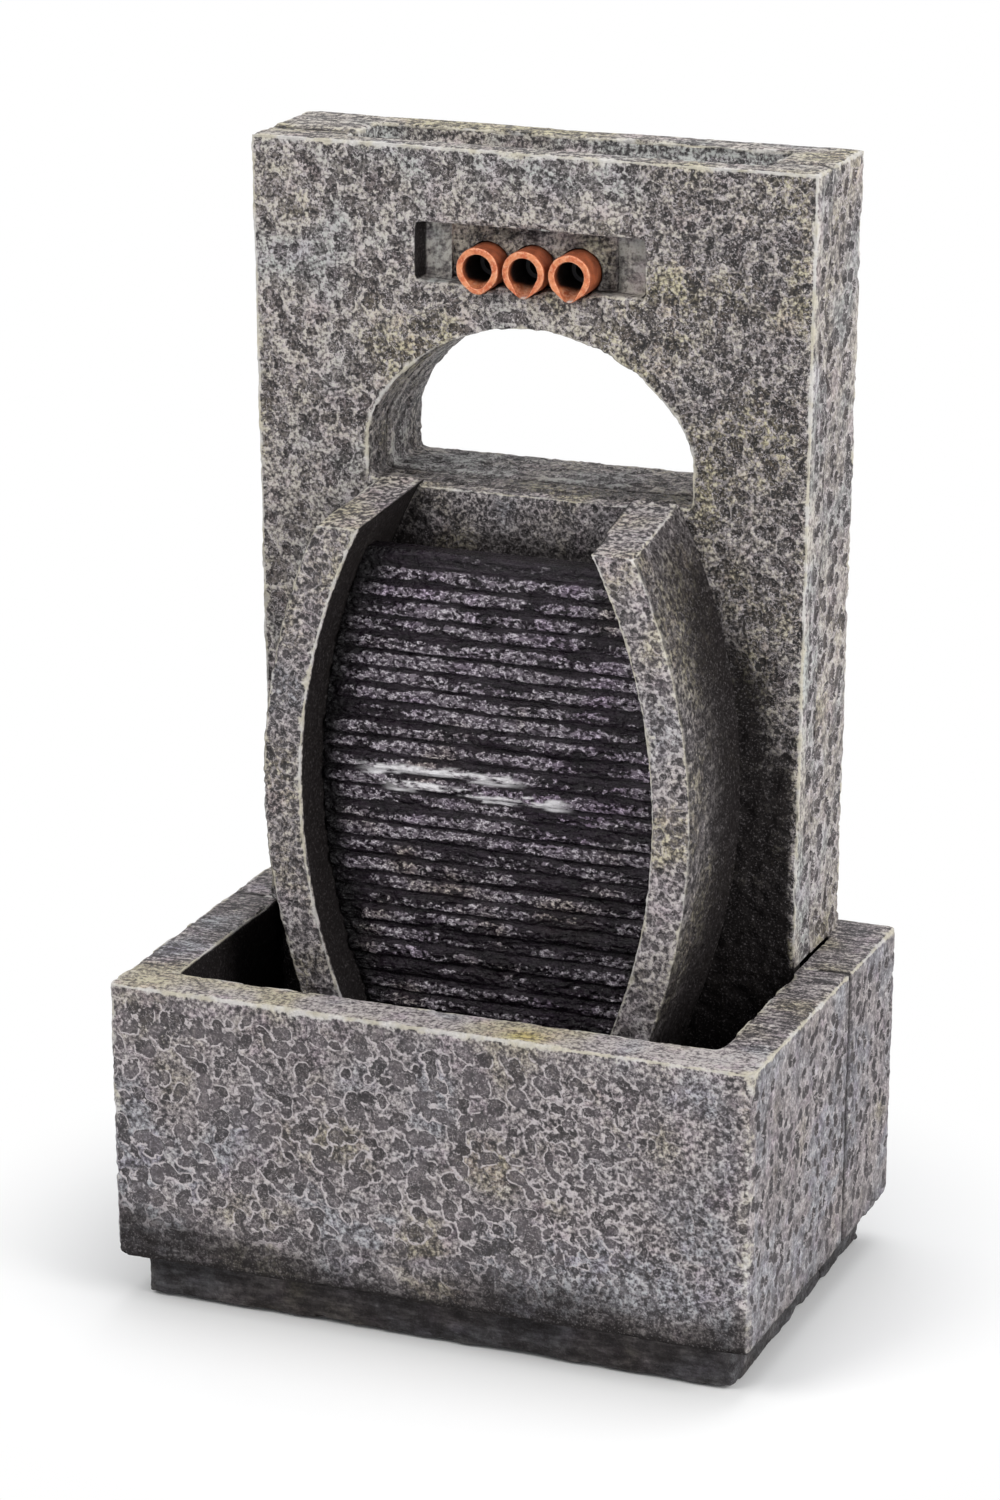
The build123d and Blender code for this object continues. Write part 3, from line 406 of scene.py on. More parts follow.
# corners of a flat lattice that have both taken-out and kept cells round them
def rimOf(taken):
    full = np.pad(taken, 1).astype(int)
    count = full[1:, 1:] + full[:-1, 1:] + full[1:, :-1] + full[:-1, :-1]
    return (count > 0) & (count < 4)


# draws the stepped edge of taken-out cells to a circle, in one quarter of it or all round
def drawToCircle(a, b, taken, centre, radius, quarter=None):
    da, db = a - centre[0], b - centre[1]
    far = np.hypot(da, db)
    pick = rimOf(taken) & (np.abs(far - radius) < 1.4 * coarse) & (far > 0.01)
    if quarter:
        pick &= (da * quarter[0] > 0) & (db * quarter[1] > 0)
    a[pick] = centre[0] + (da * radius / np.maximum(far, 0.01))[pick]
    b[pick] = centre[1] + (db * radius / np.maximum(far, 0.01))[pick]


# each quad's area vector, added up at its corners
def vertexNormals(points, quads):
    a, b, c, d = (points[quads[:, n]] for n in range(4))
    area = np.cross(c - a, d - b)
    total = np.zeros_like(points)
    for n in range(4):
        for axis in range(3):
            total[:, axis] += np.bincount(quads[:, n], weights=area[:, axis], minlength=len(points))
    return total / np.maximum(np.linalg.norm(total, axis=1, keepdims=True), 1e-9)


# every point moves halfway to the mean of its neighbours, some rounds over
def smoothed(points, quads, rounds):
    ends = np.concatenate([quads[:, [n, (n + 1) % 4]] for n in range(4)])
    count = np.bincount(ends[:, 0], minlength=len(points)) + np.bincount(ends[:, 1], minlength=len(points))
    result = points.copy()
    for _ in range(rounds):
        total = np.zeros_like(result)
        for axis in range(3):
            total[:, axis] = np.bincount(ends[:, 0], weights=result[ends[:, 1], axis], minlength=len(points))
            total[:, axis] += np.bincount(ends[:, 1], weights=result[ends[:, 0], axis], minlength=len(points))
        result = (result + total / np.maximum(count, 1)[:, None]) / 2
    return result


# quads of a grid of rows and columns of points, wrapped round where asked
def gridQuads(rows, columns, wrapRows=False, wrapColumns=False):
    r = np.arange(rows if wrapRows else rows - 1)[:, None]
    c = np.arange(columns if wrapColumns else columns - 1)[None, :]
    r2, c2 = (r + 1) % rows, (c + 1) % columns
    corners = [r * columns + c, r * columns + c2, r2 * columns + c2, r2 * columns + c]
    return np.stack([np.broadcast_to(n, (r.shape[0], c.shape[1])).ravel() for n in corners], axis=1)


# puts arrays of points (mm) and faces into a mesh object that stands for a CAD node
def makePiece(name, points, faces, fields, material, node, sharp=52):
    mesh = bpy.data.meshes.new(name)
    mesh.from_pydata((points * toMetres).tolist(), [], faces.tolist() if hasattr(faces, "tolist") else faces)
    for key, values in fields.items():
        layer = mesh.attributes.new(key, "FLOAT", "POINT")
        layer.data.foreach_set("value", np.asarray(values, np.float32))
    mesh.polygons.foreach_set("use_smooth", np.ones(len(mesh.polygons), bool))
    mesh.set_sharp_from_angle(angle=math.radians(sharp))
    mesh.update()
    piece = bpy.data.objects.new(name, mesh)
    bpy.context.scene.collection.objects.link(piece)
    mesh.materials.append(material)
    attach(piece, "root")
    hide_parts(node)
    print(name, "faces", len(mesh.polygons))


stone = {
    "skin": 0.2,  # how far the untouched face lies inside the CAD face, so that ridges reach it
    "edgeRounds": 9,
    "wearRounds": 9,
    "wear": (0.62, 0.38, 11.0),  # the usual share, how far it varies, over how many millimetres
    "dentDepth": 0.75,
    "ridge": (0.22, 0.4, 0.5),  # height, how far out from the dent's edge, width
    "grain": 0.22,
    "fine": (0.2, 2.4),  # relief and its size
    "slow": (0.35, 30.0),
    "stroke": 0.6,
    "chips": (1.0, 4.5),
}
everywhere = slice(None)  # a choice of all corners


# Moves the corners of a stone block along their normals by what a tool left there. Edges are
# worn by a share of what smoothing would move them, more in some places than in others. A dent
# is a dip inside its edge with a low ridge round it. Strokes are long and shallow. A fine grain
# goes over all. movable is 0 for a corner that lies against another piece. patterns are pairs of
# a choice of corners and their dents, the later ones over the earlier.
def carve(points, quads, normals, movable, hammered, strokes, patterns, seed, sizes):
    noise = noiseOf(points, seed)
    soft = smoothed(points, quads, stone["edgeRounds"])
    outward = ((points - soft) * normals).sum(axis=1)
    edge = ((points - smoothed(soft, quads, stone["wearRounds"])) * normals).sum(axis=1)
    free = movable[:, None]
    usual, varies, wearSize = stone["wear"]
    wear = usual + varies * noise(wearSize, 2, 70)
    worn = points + (soft - points) * wear[:, None] * free
    away, own = np.full(len(points), 3.0), np.zeros(len(points))
    for number, (pick, dents) in enumerate(patterns):
        away[pick], own[pick] = dentField(points[pick], normals[pick], dents, seed + 7 * number)
    nearEdge = ramp(np.abs(outward), 0.1, 0.5)
    dip = -stone["dentDepth"] * (0.5 + 0.7 * own) * ramp(-away, -0.3, 1.2)
    ridgeHeight, ridgeOut, ridgeWidth = stone["ridge"]
    ridge = ridgeHeight * bell(away, ridgeOut, ridgeWidth)
    relief = hammered * (dip + ridge) * (1 - 0.75 * nearEdge)
    fineHeight, fineSize = stone["fine"]
    grain = stone["grain"] * (grit(points, seed) - 0.6)
    grain += fineHeight * noise(fineSize, 2, 20)
    slowHeight, slowSize = stone["slow"]
    slow = slowHeight * noise(slowSize, 2, 30) * (1 - nearEdge)
    lines = stone["stroke"] * noise(sizes["strokeSize"], 3, 40) * strokes
    chipDepth, chipSize = stone["chips"]
    chips = -chipDepth * ramp(noise(chipSize, 2, 60), 0.05, 0.5) * ramp(outward, 0.15, 0.6)
    move = relief + grain * (0.35 + 0.65 * hammered) + slow + lines + chips - stone["skin"]
    moved = worn + normals * np.minimum(move, 0.0)[:, None] * free
    away = np.where(hammered > 0.02, away, 3.0)
    return moved, {"dent": away, "own": own, "worn": edge * movable, "hammered": hammered}


# Cast stone, painted and rubbed back. Its ground is fine clouds from charcoal over grey to pale.
# A dent is dark inside, with a ragged edge, a painted shade just inside that edge and a broken pale
# line round it, and thin pale creases wander over the face. Outer edges are rubbed to a broken cream
# band. Where there is soot or painted shade, a little dust lies on it and it shines less. The
# attributes tone, warm, the soot-and-shade field, strokes, grainy and moss say how light, brown,
# black, streaky, speckled and green each place is, and faint how weak the pale lines round its dents are.
def castStone(name, look):
    material, tree, where = emptyMaterial(name)
    dent, own, worn, hammered, faint = readings(tree, "dent own worn hammered faint")
    tone, warm, soot, strokes, grainy, moss = readings(tree, "tone warm soot strokes grainy moss")
    grain = clouds(where, look["grain"], 3.0, 0.62)
    patch = clouds(where, look["patch"], 3.0, 0.6)
    drift = clouds(where, look["drift"], 2.0, 0.5)
    mist = clouds(where, look["mist"], 3.0, 0.6)
    fold = clouds(where, look["fold"], 3.0, 0.55, 0.4)
    speck = clouds(where, look["speck"], 3.0, 0.6)
    streak = clouds(stretched(where, look["streakWay"]), look["streak"], 3.0, 0.62)
    lines = swing(streak, 3.4) * strokes
    level = swing(grain, look["contrast"]) * grainy + swing(patch, 1.2) + (lines + tone)
    colour = shaded((level + look["level"]).clamped(), look["shades"])
    # olive, blue or lilac by place
    brown = warm + swing(drift, 2.8)
    colour = tinted(eased(brown, 0.0, 0.9), colour, look["tan"])
    colour = tinted(eased(brown, -0.05, -0.8), colour, look["blue"])
    colour = tinted(eased(mist, 0.5, 0.68), colour, look["lilac"])
    colour = tinted(moss, colour, look["moss"])
    # dents
    torn = dent + swing(grain, look["ragged"]) * grainy + swing(speck, look["frayed"])
    within = eased(torn, 0.12, -0.4)
    depth = (within * (own * 0.4 + look["dark"]) * hammered).clamped()
    hollow = blended(eased(own, 0.3, 0.85), look["hollow"], look["hollowDark"])
    filled = (within * hammered * look["filled"]).clamped()
    colour = blended(filled, tinted(depth, colour, look["pit"]), hollow)
    # painted shade just inside each dent's edge, where the patch noise allows
    lining = eased(abs(torn + 0.55), 0.55, 0.1) * eased(patch, 0.44, 0.56) * look["lining"]
    colour = blended((lining * hammered).clamped(), colour, look["lined"])
    ring = eased(abs(torn - 0.15), 0.5, 0.08) * eased(clouds(where, 3.4, 2.0, 0.5), 0.36, 0.54)
    ring = (ring * (hammered * look["outline"])).clamped() * (1.0 - faint)
    colour = blended(ring, colour, look["chalk"])
    crease = eased(abs(fold - 0.5), 0.026, 0.004) * eased(patch, 0.38, 0.6) * look["crease"]
    colour = blended((crease * hammered).clamped(), colour, look["chalk"])
    # pale flecks and dark specks
    pale = (eased(speck, 0.57, 0.68) * grainy * look["flecks"]).clamped()
    colour = blended(pale, colour, look["chalk"])
    dark = (eased(speck, 0.43, 0.32) * grainy * look["specks"]).clamped()
    colour = blended(dark, colour, look["specked"])
    # rubbed edges
    rub = worn + (swing(clouds(where, 8.0, 3.0, 0.6), look["rubBreak"]) + swing(grain, 1.5))
    rub = (eased(rub, look["rubFrom"], look["rubTo"]) * (1.0 - soot)).clamped()
    cream = blended(eased(mist, 0.42, 0.6), look["cream"], look["offWhite"])
    colour = blended(rub * look["rub"], colour, cream)
    # soot and shadow paint
    smear = clouds(stretched(where, (0.35, 0.35, 1.0)), 4.0, 4.0, 0.6)
    black = eased(soot + swing(smear, 0.6), 0.1, 0.95) * 0.985
    colour = blended(black, colour, look["black"])
    dust = eased(speck, 0.55, 0.66) * black * (grainy * look["dust"])
    colour = blended(dust, colour, look["chalk"])
    gloss = eased(grain + soot * -0.25, 0.1, 0.85) * 0.36 + look["gloss"]
    inputs = {"Base Color": colour, "Roughness": gloss, "Specular IOR Level": (1.25 - black) * look["shine"]}
    coated(tree, grain + speck * 0.7 + streak * strokes * 1.2, 1.0, look["relief"], inputs)
    return material


greyStone = {
    "grain": 1.7,  # sizes of the clouds in millimetres, this one and the next six
    "patch": 5.2,
    "drift": 24.0,
    "mist": 11.0,
    "fold": 3.0,
    "speck": 0.85,
    "streak": 1.9,
    "streakWay": (0.2, 1.0, 1.0),
    "contrast": 3.4,
    "level": 0.46,
    "shades": (
        (0.018, 0.0152, 0.0165),
        (0.064, 0.0545, 0.0585),
        (0.168, 0.147, 0.151),
        (0.310, 0.279, 0.277),
        (0.50, 0.46, 0.447),
    ),
    "tan": (1.03, 1.02, 0.77),
    "blue": (0.86, 0.95, 1.02),
    "lilac": (1.03, 0.97, 1.05),
    "moss": (1.0, 0.95, 0.46),
    "ragged": 1.1,
    "frayed": 0.4,
    "dark": 0.5,
    "pit": (0.34, 0.32, 0.34),
    "filled": 0.6,
    "hollow": (0.122, 0.106, 0.114),
    "hollowDark": (0.042, 0.036, 0.038),
    "lining": 0.75,
    "lined": (0.040, 0.036, 0.038),
    "outline": 0.9,
    "crease": 0.5,
    "chalk": (0.53, 0.484, 0.494),
    "flecks": 0.4,
    "specks": 0.8,
    "specked": (0.035, 0.031, 0.032),
    "cream": (0.55, 0.51, 0.41),
    "offWhite": (0.62, 0.60, 0.575),
    "rub": 0.78,
    "rubBreak": 2.4,
    "rubFrom": 0.42,
    "rubTo": 1.05,
    "black": (0.012, 0.010, 0.010),
    "dust": 0.15,
    "gloss": 0.48,
    "shine": 0.36,
    "relief": 0.0006,
}
wallLook = {
    "grain": 1.6,
    "streakWay": (0.22, 1.0, 0.3),
    "contrast": 4.5,
    "level": 0.56,
    "shades": (
        (0.018, 0.0155, 0.0150),
        (0.070, 0.060, 0.057),
        (0.178, 0.157, 0.146),
        (0.320, 0.290, 0.260),
        (0.51, 0.475, 0.425),
    ),
    "ragged": 3.0,
    "frayed": 0.9,
    "dark": 0.66,
    "pit": (0.28, 0.26, 0.27),
    "filled": 0.0,
    "lining": 0.6,
    "outline": 0.4,
    "crease": 0.7,
    "flecks": 0.7,
}
cheekLook = {
    "grain": 2.0,
    "streakWay": (1.0, 1.0, 0.25),
    "contrast": 4.7,
    "ragged": 1.8,
    "filled": 0.3,
    "lining": 0.6,
    "outline": 0.4,
    "crease": 0.6,
}
troughLook = {
    "grain": 1.3,
    "contrast": 4.2,
    "level": 0.35,
    "ragged": 2.0,
    "filled": 0.1,
    "outline": 0.5,
    "flecks": 0.8,
    "gloss": 0.4,
}
basinStone = castStone("basinStone", greyStone)
wallStone = castStone("wallStone", {**greyStone, **wallLook})
cheekStone = castStone("cheekStone", {**greyStone, **cheekLook})
troughStone = castStone("troughStone", {**greyStone, **troughLook})
print("stone finishes made")

basin = {
    "halfX": 125.0,
    "halfY": 83.5,
    "innerX": 105.0,
    "innerY": 63.5,
    "plinthX": 116.0,
    "plinthY": 74.5,
    "rim": 126.0,
    "floor": 30.0,
    "plinthTop": 18.0,
    "under": 1.0,
    "draft": 0.45,  # degrees
    "corner": 3.0,
    "innerCorner": 4.0,
    "pad": (102.0, 60.5, 8.1, 3.0),  # a pad's pocket: across, front to rear, radius, top
    "wallSeat": (-2.0, 106.5, 62.0, 77.0),  # the wall rests here: middle, half width, from y to y
    "besideWall": (106.5, 18.0, 66.0),  # the rim moves less here: half width, from y to y
    "seam": 27.0,
    "seamWidth": 1.7,
    "seamCalm": 3.5,  # dents are fainter this near to the seam
    "groove": 0.6,
    "step": 1.29,
    "flankRelief": 1.4,
    "strokeSize": (24.0, 5.0, 3.0),
    "fineFrom": 48.0,
    "sandy": (62.0, 92.0, 0.5),  # begins and is full at x, and takes this share off the dents
    # pieces knocked off the plinth: size, depth, limits of the noise, heights where none and all are
    "knocked": (
        ((13.0, 13.0, 5.0), 1.7, (-0.05, 0.6), (9, 2)),
        ((22.0, 22.0, 8.0), 0.7, (-0.1, 0.7), (18.5, 17)),
    ),
    "moss": (37.0, -77.0, 9.0, 6.0),  # place and size, across and front to rear
    "dents": dict(cell=(6.5, 6.3), radius=(2.0, 3.7), present=0.86, oval=0.35, waver=1.4, bare=0.45),
    "fineDents": dict(cell=(5.0, 5.0), radius=(1.5, 2.7), present=0.88, oval=0.4, waver=1.9, bare=0.3),
    "flankDents": dict(cell=(8.2, 6.2), radius=(2.0, 3.1), present=0.9, oval=0.3, waver=1.2, bare=0.2),
}


# draws the corner of a square ring to a quarter circle: the larger of the two distances from the
# circle's centre becomes the radius
def roundCorner(x, y, halfX, halfY, radius):
    dx = np.abs(x) - (halfX - radius)
    dy = np.abs(y) - (halfY - radius)
    past = (dx > 0) & (dy > 0) & (np.maximum(dx, dy) < radius + 0.01)
    scale = np.where(past, np.maximum(dx, dy) / np.maximum(np.hypot(dx, dy), 1e-6), 1.0)
    roundX = np.where(past, np.sign(x) * (halfX - radius + dx * scale), x)
    return roundX, np.where(past, np.sign(y) * (halfY - radius + dy * scale), y)


# slow clouds of light and dark, and of brown and blue, over a stone piece
def tints(noise):
    return 0.16 * noise(26.0, 3, 80), 1.1 * noise(38.0, 2, 90)


# One half of the basin: a block of cells with the pool, the plinth's inset and the pad pockets out.
# Dents are finer at the front's right, and fainter beyond that, where the stone is sandy. The
# plinth's foot and upper edge are knocked off in places, and a thin dark line marks the seam.
def makeBasinHalf(name, node, front, seed):
    step = basin["step"] * coarse
    halfX, innerX, footX = basin["halfX"], basin["innerX"], basin["plinthX"]
    halfY, innerY, footY = basin["halfY"], basin["innerY"], basin["plinthY"]
    rim, bed, ledge, seam = basin["rim"], basin["floor"], basin["plinthTop"], basin["seam"]
    padX, padY, padRadius, padTop = basin["pad"]
    across = places((-halfX, -footX, -innerX, innerX, footX, halfX), step)
    deep = places((-halfY, -footY, -innerY, seam) if front else (seam, innerY, footY, halfY), step)
    up = places((basin["under"], padTop, ledge, bed, rim), step)
    (midX, midY, midZ), (x, y, z) = cellsAndCorners(across, deep, up)
    solid = ~((midZ < ledge) & ((np.abs(midX) > footX) | (np.abs(midY) > footY)))
    solid &= ~((midZ > bed) & (np.abs(midX) < innerX) & (np.abs(midY) < innerY))
    pocket = np.hypot(np.abs(midX) - padX, np.abs(midY) - padY) < padRadius
    solid &= ~(pocket & (midZ < padTop))
    flatX, flatY = x[:, :, 0].copy(), y[:, :, 0].copy()
    for hand in (-1, 1):
        drawToCircle(flatX, flatY, pocket[:, :, 0], (hand * padX, -padY if front else padY), padRadius)
    low, high = z < padTop + 0.01, z > ledge - 0.1
    x, y = np.where(low, flatX[:, :, None], x), np.where(low, flatY[:, :, None], y)
    plinthRing, poolRing = (footX, footY, basin["corner"]), (innerX, innerY, basin["innerCorner"])
    for here, ring in ((z < ledge + 0.01, plinthRing), (z > bed - 0.1, poolRing)):
        roundX, roundY = roundCorner(x, y, *ring)
        x, y = np.where(here, roundX, x), np.where(here, roundY, y)
    outX, outY = roundCorner(x, y, halfX, halfY, basin["corner"])
    lean = (rim - z) * math.tan(math.radians(basin["draft"])) * high
    outX = outX - np.sign(outX) * lean * np.clip((np.abs(x) - footX) / (halfX - footX), 0, 1)
    outY = outY - np.sign(outY) * lean * np.clip((np.abs(y) - footY) / (halfY - footY), 0, 1)
    lattice = np.stack([np.where(high, outX, x), np.where(high, outY, y), z], axis=3)
    points, quads, normals = skinOf(lattice, solid)
    x, y, z = points.T
    nx, ny, nz = normals.T
    noise = noiseOf(points, seed)
    # where on the stone each corner lies
    outside = (np.abs(x) > footX - 4) | (np.abs(y) > footY - 3.5)
    body = z > ledge + 0.5
    wallSide = (np.abs(nz) < 0.6) & outside
    flank = wallSide & (np.abs(nx) > 0.6)
    facing = ny < -0.6
    onTop = ramp(nz, 0.35, 0.8) * (z > 100)
    frontward = y < 1.5 - innerY
    inside = (np.abs(x) < innerX + 1.5) & (np.abs(y) < innerY + 1.5) & (z > bed - 1) & (onTop < 0.5)
    middle, half, fromY, toY = basin["wallSeat"]
    bearing = (np.abs(x - middle) < half) & (y > fromY) & (y < toY) & (z > rim - 0.1) & (nz > 0.9)
    underside = (z < padTop + 0.01) & (np.abs(x) < footX - 4) & (np.abs(y) < footY - 4)
    movable = np.where(underside | (z < bed + 0.1) & inside | bearing, 0.0, 1.0)
    half, fromY, toY = basin["besideWall"]
    besideWall = (np.abs(x) < half) & (y > fromY) & (y < toY) & (z > rim - 6)
    movable = np.where(besideWall, 0.25 * movable, movable)
    # dents, strokes and knocks
    spread = ramp(rim - z + 3 * noise(9.0, 2, 5), 2, 10)
    spread = spread * (0.45 + 0.55 * ramp(z + 6 * noise(16.0, 2, 14), 30, 46))
    hammered = (0.15 + 0.85 * spread) * np.where(flank, basin["flankRelief"], 1.0)
    hammered = np.where(wallSide & body, hammered, np.where(inside, 0.25, 0.0))
    strokes = onTop * np.where(frontward, 0.3, 0.72) + 0.35 * (z < ledge + 0.2) * outside + 0.25 * flank
    fineZone = facing & (x + 14 * noise(12.0, 2, 6) > basin["fineFrom"])
    sandyFrom, sandyTo, share = basin["sandy"]
    sandy = facing * ramp(x + 22 * noise(20.0, 2, 18), sandyFrom, sandyTo)
    hammered = hammered * (1 - share * sandy) * (1 - 0.8 * flank * bell(y, seam, basin["seamCalm"]))
    patterns = [(everywhere, basin["dents"]), (fineZone, basin["fineDents"]), (flank, basin["flankDents"])]
    moved, fields = carve(points, quads, normals, movable, hammered, strokes, patterns, seed, basin)
    knocked = 0.0
    for number, (size, depth, limits, heights) in enumerate(basin["knocked"]):
        knocked = knocked + depth * ramp(noise(size, 3, 19 + number), *limits) * ramp(z, *heights) * outside
    moved = moved - normals * (knocked * movable)[:, None]
    moved[np.abs(y - seam) < 0.01, 1] = seam
    seamGap = bell(y, seam, basin["seamWidth"]) * outside
    moved[:, 0] -= nx * basin["groove"] * seamGap * movable * flank
    # paint
    tone, warm = tints(noise)
    fade = ramp(z + 9 * noise((30.0, 30.0, 14.0), 2, 8) - 8 * ramp(x, -60, -118), 46, 19)
    wash = ramp(noise((26.0, 26.0, 11.0), 3, 13), 0.05, 0.4) * ramp(z, 66, 50) * ramp(z, 24, 36)
    frontRim = onTop * frontward
    # face by face, painted light and shade: the flanks a little lighter and the tops a little darker; the
    # front rim's top paler, the less hammered band lighter
    tone = tone + 0.07 * flank + 0.34 * frontRim - 0.02 * onTop + (1 - spread) * wallSide * 0.06
    tone = tone + 0.07 * ramp(x, -30, -100) * wallSide * facing
    tone = tone + 0.06 * ramp(x, 20, 60) * wallSide * facing
    tone = tone + 0.1 * wash * wallSide
    # darker inside the pool, lower down the sides and on the plinth, less so on the flanks; painted shade in
    # a band under the body's overhang at the top of the plinth
    soot = np.where(inside, 0.95, np.where(body, 0.77 * fade * np.where(flank, 0.45, 1.0), 0.745))
    soot = soot + 0.3 * bell(z, ledge - 0.1, 1.6) * outside
    soot = np.maximum(soot, 0.92 * seamGap)
    warm = warm + 0.2 * onTop + 0.1 * frontRim - 0.35 * flank - 0.3 * (z < ledge - 1)
    warm = warm + 0.6 * ramp(x + 2 * noise(9.0, 2, 17), 116, 122) * (y < -79) * body
    warm = warm - (0.5 * ramp(np.hypot(x + 110, z - 45), 40, 12) + 0.9 * wash) * wallSide
    mossX, mossY, mossWide, mossDeep = basin["moss"]
    moss = ((x - mossX) / mossWide) ** 2
    moss = np.exp(-moss - ((y - mossY) / mossDeep) ** 2 + 0.9 * noise(7.0, 2, 15)) * onTop
    rubbed = 0.15 + 0.9 * ramp(noise(17.0, 2, 16), -0.5, 0.4)
    rubbed = rubbed * (y < -79) * (z > 119) * ramp(x, -112, -95) * ramp(x, 75, 35)
    fields["worn"] = fields["worn"] * (1 - seamGap) * (1 + rubbed)
    fields["own"] = np.where(flank, 0.7 + 0.3 * fields["own"], fields["own"])
    grainy = np.where(body, np.where(flank, 0.38, np.where(fineZone, 1.0, 0.85)), 0.2)
    fields.update(tone=tone, warm=warm, soot=soot, strokes=strokes, grainy=grainy)
    fields.update(moss=0.9 * np.clip(moss, 0, 1), faint=0.7 * flank)
    makePiece(name, moved, quads, fields, basinStone, node)


makeBasinHalf("basinFront", "basin_front", True, 101)
makeBasinHalf("basinRear", "basin_rear", False, 102)

wall = {
    "middle": -2.0,
    "halfTop": 109.6,
    "halfRim": 105.8,
    "front": 23.5,
    "seam": 42.0,
    "rear": 76.5,
    "rim": 126.0,  # the basin's rim, which the rear half stands on
    "top": 422.0,
    "footHalf": 103.5,
    "shell": 8.0,
    "sill": 297.0,
    "spring": 311.0,
    "crown": 357.0,
    "windowHalf": 63.0,
    "haunch": 26.0,
    "haunchCut": 38.0,  # degrees of the haunch that belong to the jamb's rows
    "crownRadius": 70.2,
    "nicheLow": 372.6,
    "nicheHigh": 393.4,
    "nicheHalf": 44.2,
    "nicheBack": 32.0,
    "nicheBacking": 38.0,
    "backing": (6.0, 366.6, 399.4),  # the thicker wall round the niche: how much wider, from z to z
    "keelLow": 369.2,
    "recess": (-77.0, 84.0, 34.5, 62.5),
    "recessFloor": 416.0,
    "chamberTop": 408.0,
    "cover": (200.0, 55.5, 45.5, 47.5, 37.5, 8.0, 72.2),  # middle, rebate, opening, corners, seat
    "peg": (51.2, 41.2, 3.45),
    "pumpDoor": (38.0, 88.0),  # half width and top of the way through the front half's foot
    "drains": (92.0, 8.0, 54.0),  # place, half width and top of the two slots beside it
    # columns, rows and depths that lie on the edges of openings
    "columns": (
        -63, -55.5, -47.5, -44.2, -38, -23.85, -12.15, -6.05, 5.65, 11.75, 23.45, 38, 44.2, 47.5, 55.5, 63,
    ),
    "rows": (30, 54, 88, 125.8, 126, 154.5, 162.5, 237.5, 245.5, 297),
    "frontDepths": (23.5, 31.5, 32.0, 34.5, 38.0, 42.0),
    "rearDepths": (42.0, 62.5, 68.5, 72.2, 76.5),
    "step": 1.4,
    "depthStep": 1.25,
    "sideWidth": 45.0,
    "groove": 0.7,
    "seamWidth": 1.6,
    "flankRelief": 1.3,
    "strokeSize": (24.0, 4.0, 24.0),
    "sunk": 2.2,  # how deep the recess floor is rubbed
    "dents": dict(cell=(6.9, 6.4), radius=(2.2, 3.8), present=0.92, oval=0.35, waver=1.6, bare=0.25),
    "flankDents": dict(cell=(9.0, 8.0), radius=(2.6, 4.2), present=0.92, oval=0.3, waver=1.4, bare=0.1),
}
spouts = {
    "places": (-20.0, -2.2, 15.6),
    "axis": 378.9,
    "radius": 8.3,
    "bore": 5.4,
    "front": 18.5,
    "rear": 40.0,
    "lipDrop": 7.1,
    "lipRadius": 2.3,
    # outlines of the rim and the mouth, each two radii and a drop
    "wholeRim": dict(rim=(8.3, 4.3, 5.0), mouth=(5.5, 3.4, 3.4), deep=5.0, glint=0.0),
    "cutRim": dict(rim=(8.3, 3.5, 5.85), mouth=(5.5, 2.5, 6.4), deep=8.0, glint=1.0),
    "gap": 0.3,
}


# how far each place is from the nearest spout's axis
def fromSpouts(x, z):
    return np.minimum.reduce([np.hypot(x - place, z - spouts["axis"]) for place in spouts["places"]])


# half the width of a spout's outline at a height below or above its axis: the circle, then the
# straight line down to the small circle of the lip, then that circle
def spoutHalf(drop, margin):
    big, small = spouts["radius"] + margin, spouts["lipRadius"] + margin
    sine = (big - small) / spouts["lipDrop"]
    cosine = math.sqrt(1 - sine * sine)
    z = -np.asarray(drop, float)
    circle = np.sqrt(np.maximum(big * big - z * z, 0))
    line = (big - sine * -z) / cosine
    lip = np.sqrt(np.maximum(small * small - (z + spouts["lipDrop"]) ** 2, 0))
    return np.where(z > -big * sine, circle, np.where(z > -spouts["lipDrop"] - small * sine, line, lip))


# the window's outline over the crown, for shares 0 to 1 from left to right: x and z. Two haunch
# arcs and one crown arc, joined where their tangents meet, walked by length.
def archPoints(share):
    haunch, radius, spring = wall["haunch"], wall["crownRadius"], wall["spring"]
    haunchX = wall["windowHalf"] - haunch
    crownZ = wall["crown"] - radius
    meet = math.atan2(spring - crownZ, haunchX)
    lowCut = math.radians(wall["haunchCut"])
    haunchLength = (meet - lowCut) * haunch
    crownLength = (math.pi - 2 * meet) * radius
    walked = np.asarray(share) * (2 * haunchLength + crownLength)
    left = math.pi - lowCut - walked / haunch
    crown = math.pi - meet - (walked - haunchLength) / radius
    right = meet - (walked - haunchLength - crownLength) / haunch
    onLeft, onCrown = walked < haunchLength, walked < haunchLength + crownLength
    x = np.where(onCrown, radius * np.cos(crown), haunchX + haunch * np.cos(right))
    z = np.where(onCrown, crownZ + radius * np.sin(crown), spring + haunch * np.sin(right))
    x = np.where(onLeft, -haunchX + haunch * np.cos(left), x)
    return x, np.where(onLeft, spring + haunch * np.sin(left), z)


# the window's right side from the sill up the jamb and round the first part of the haunch
def jambPoints(share):
    jamb = wall["spring"] - wall["sill"]
    walked = np.asarray(share) * (jamb + math.radians(wall["haunchCut"]) * wall["haunch"])
    turn = np.clip((walked - jamb) / wall["haunch"], 0, None)
    x = wall["windowHalf"] - wall["haunch"] * (1 - np.cos(turn))
    z = np.where(walked < jamb, wall["sill"] + walked, wall["spring"] + wall["haunch"] * np.sin(turn))
    return x, z


# half the wall's width at a height
def wallHalf(z):
    rise = (z - wall["rim"]) / (wall["top"] - wall["rim"])
    return wall["halfRim"] + (wall["halfTop"] - wall["halfRim"]) * rise


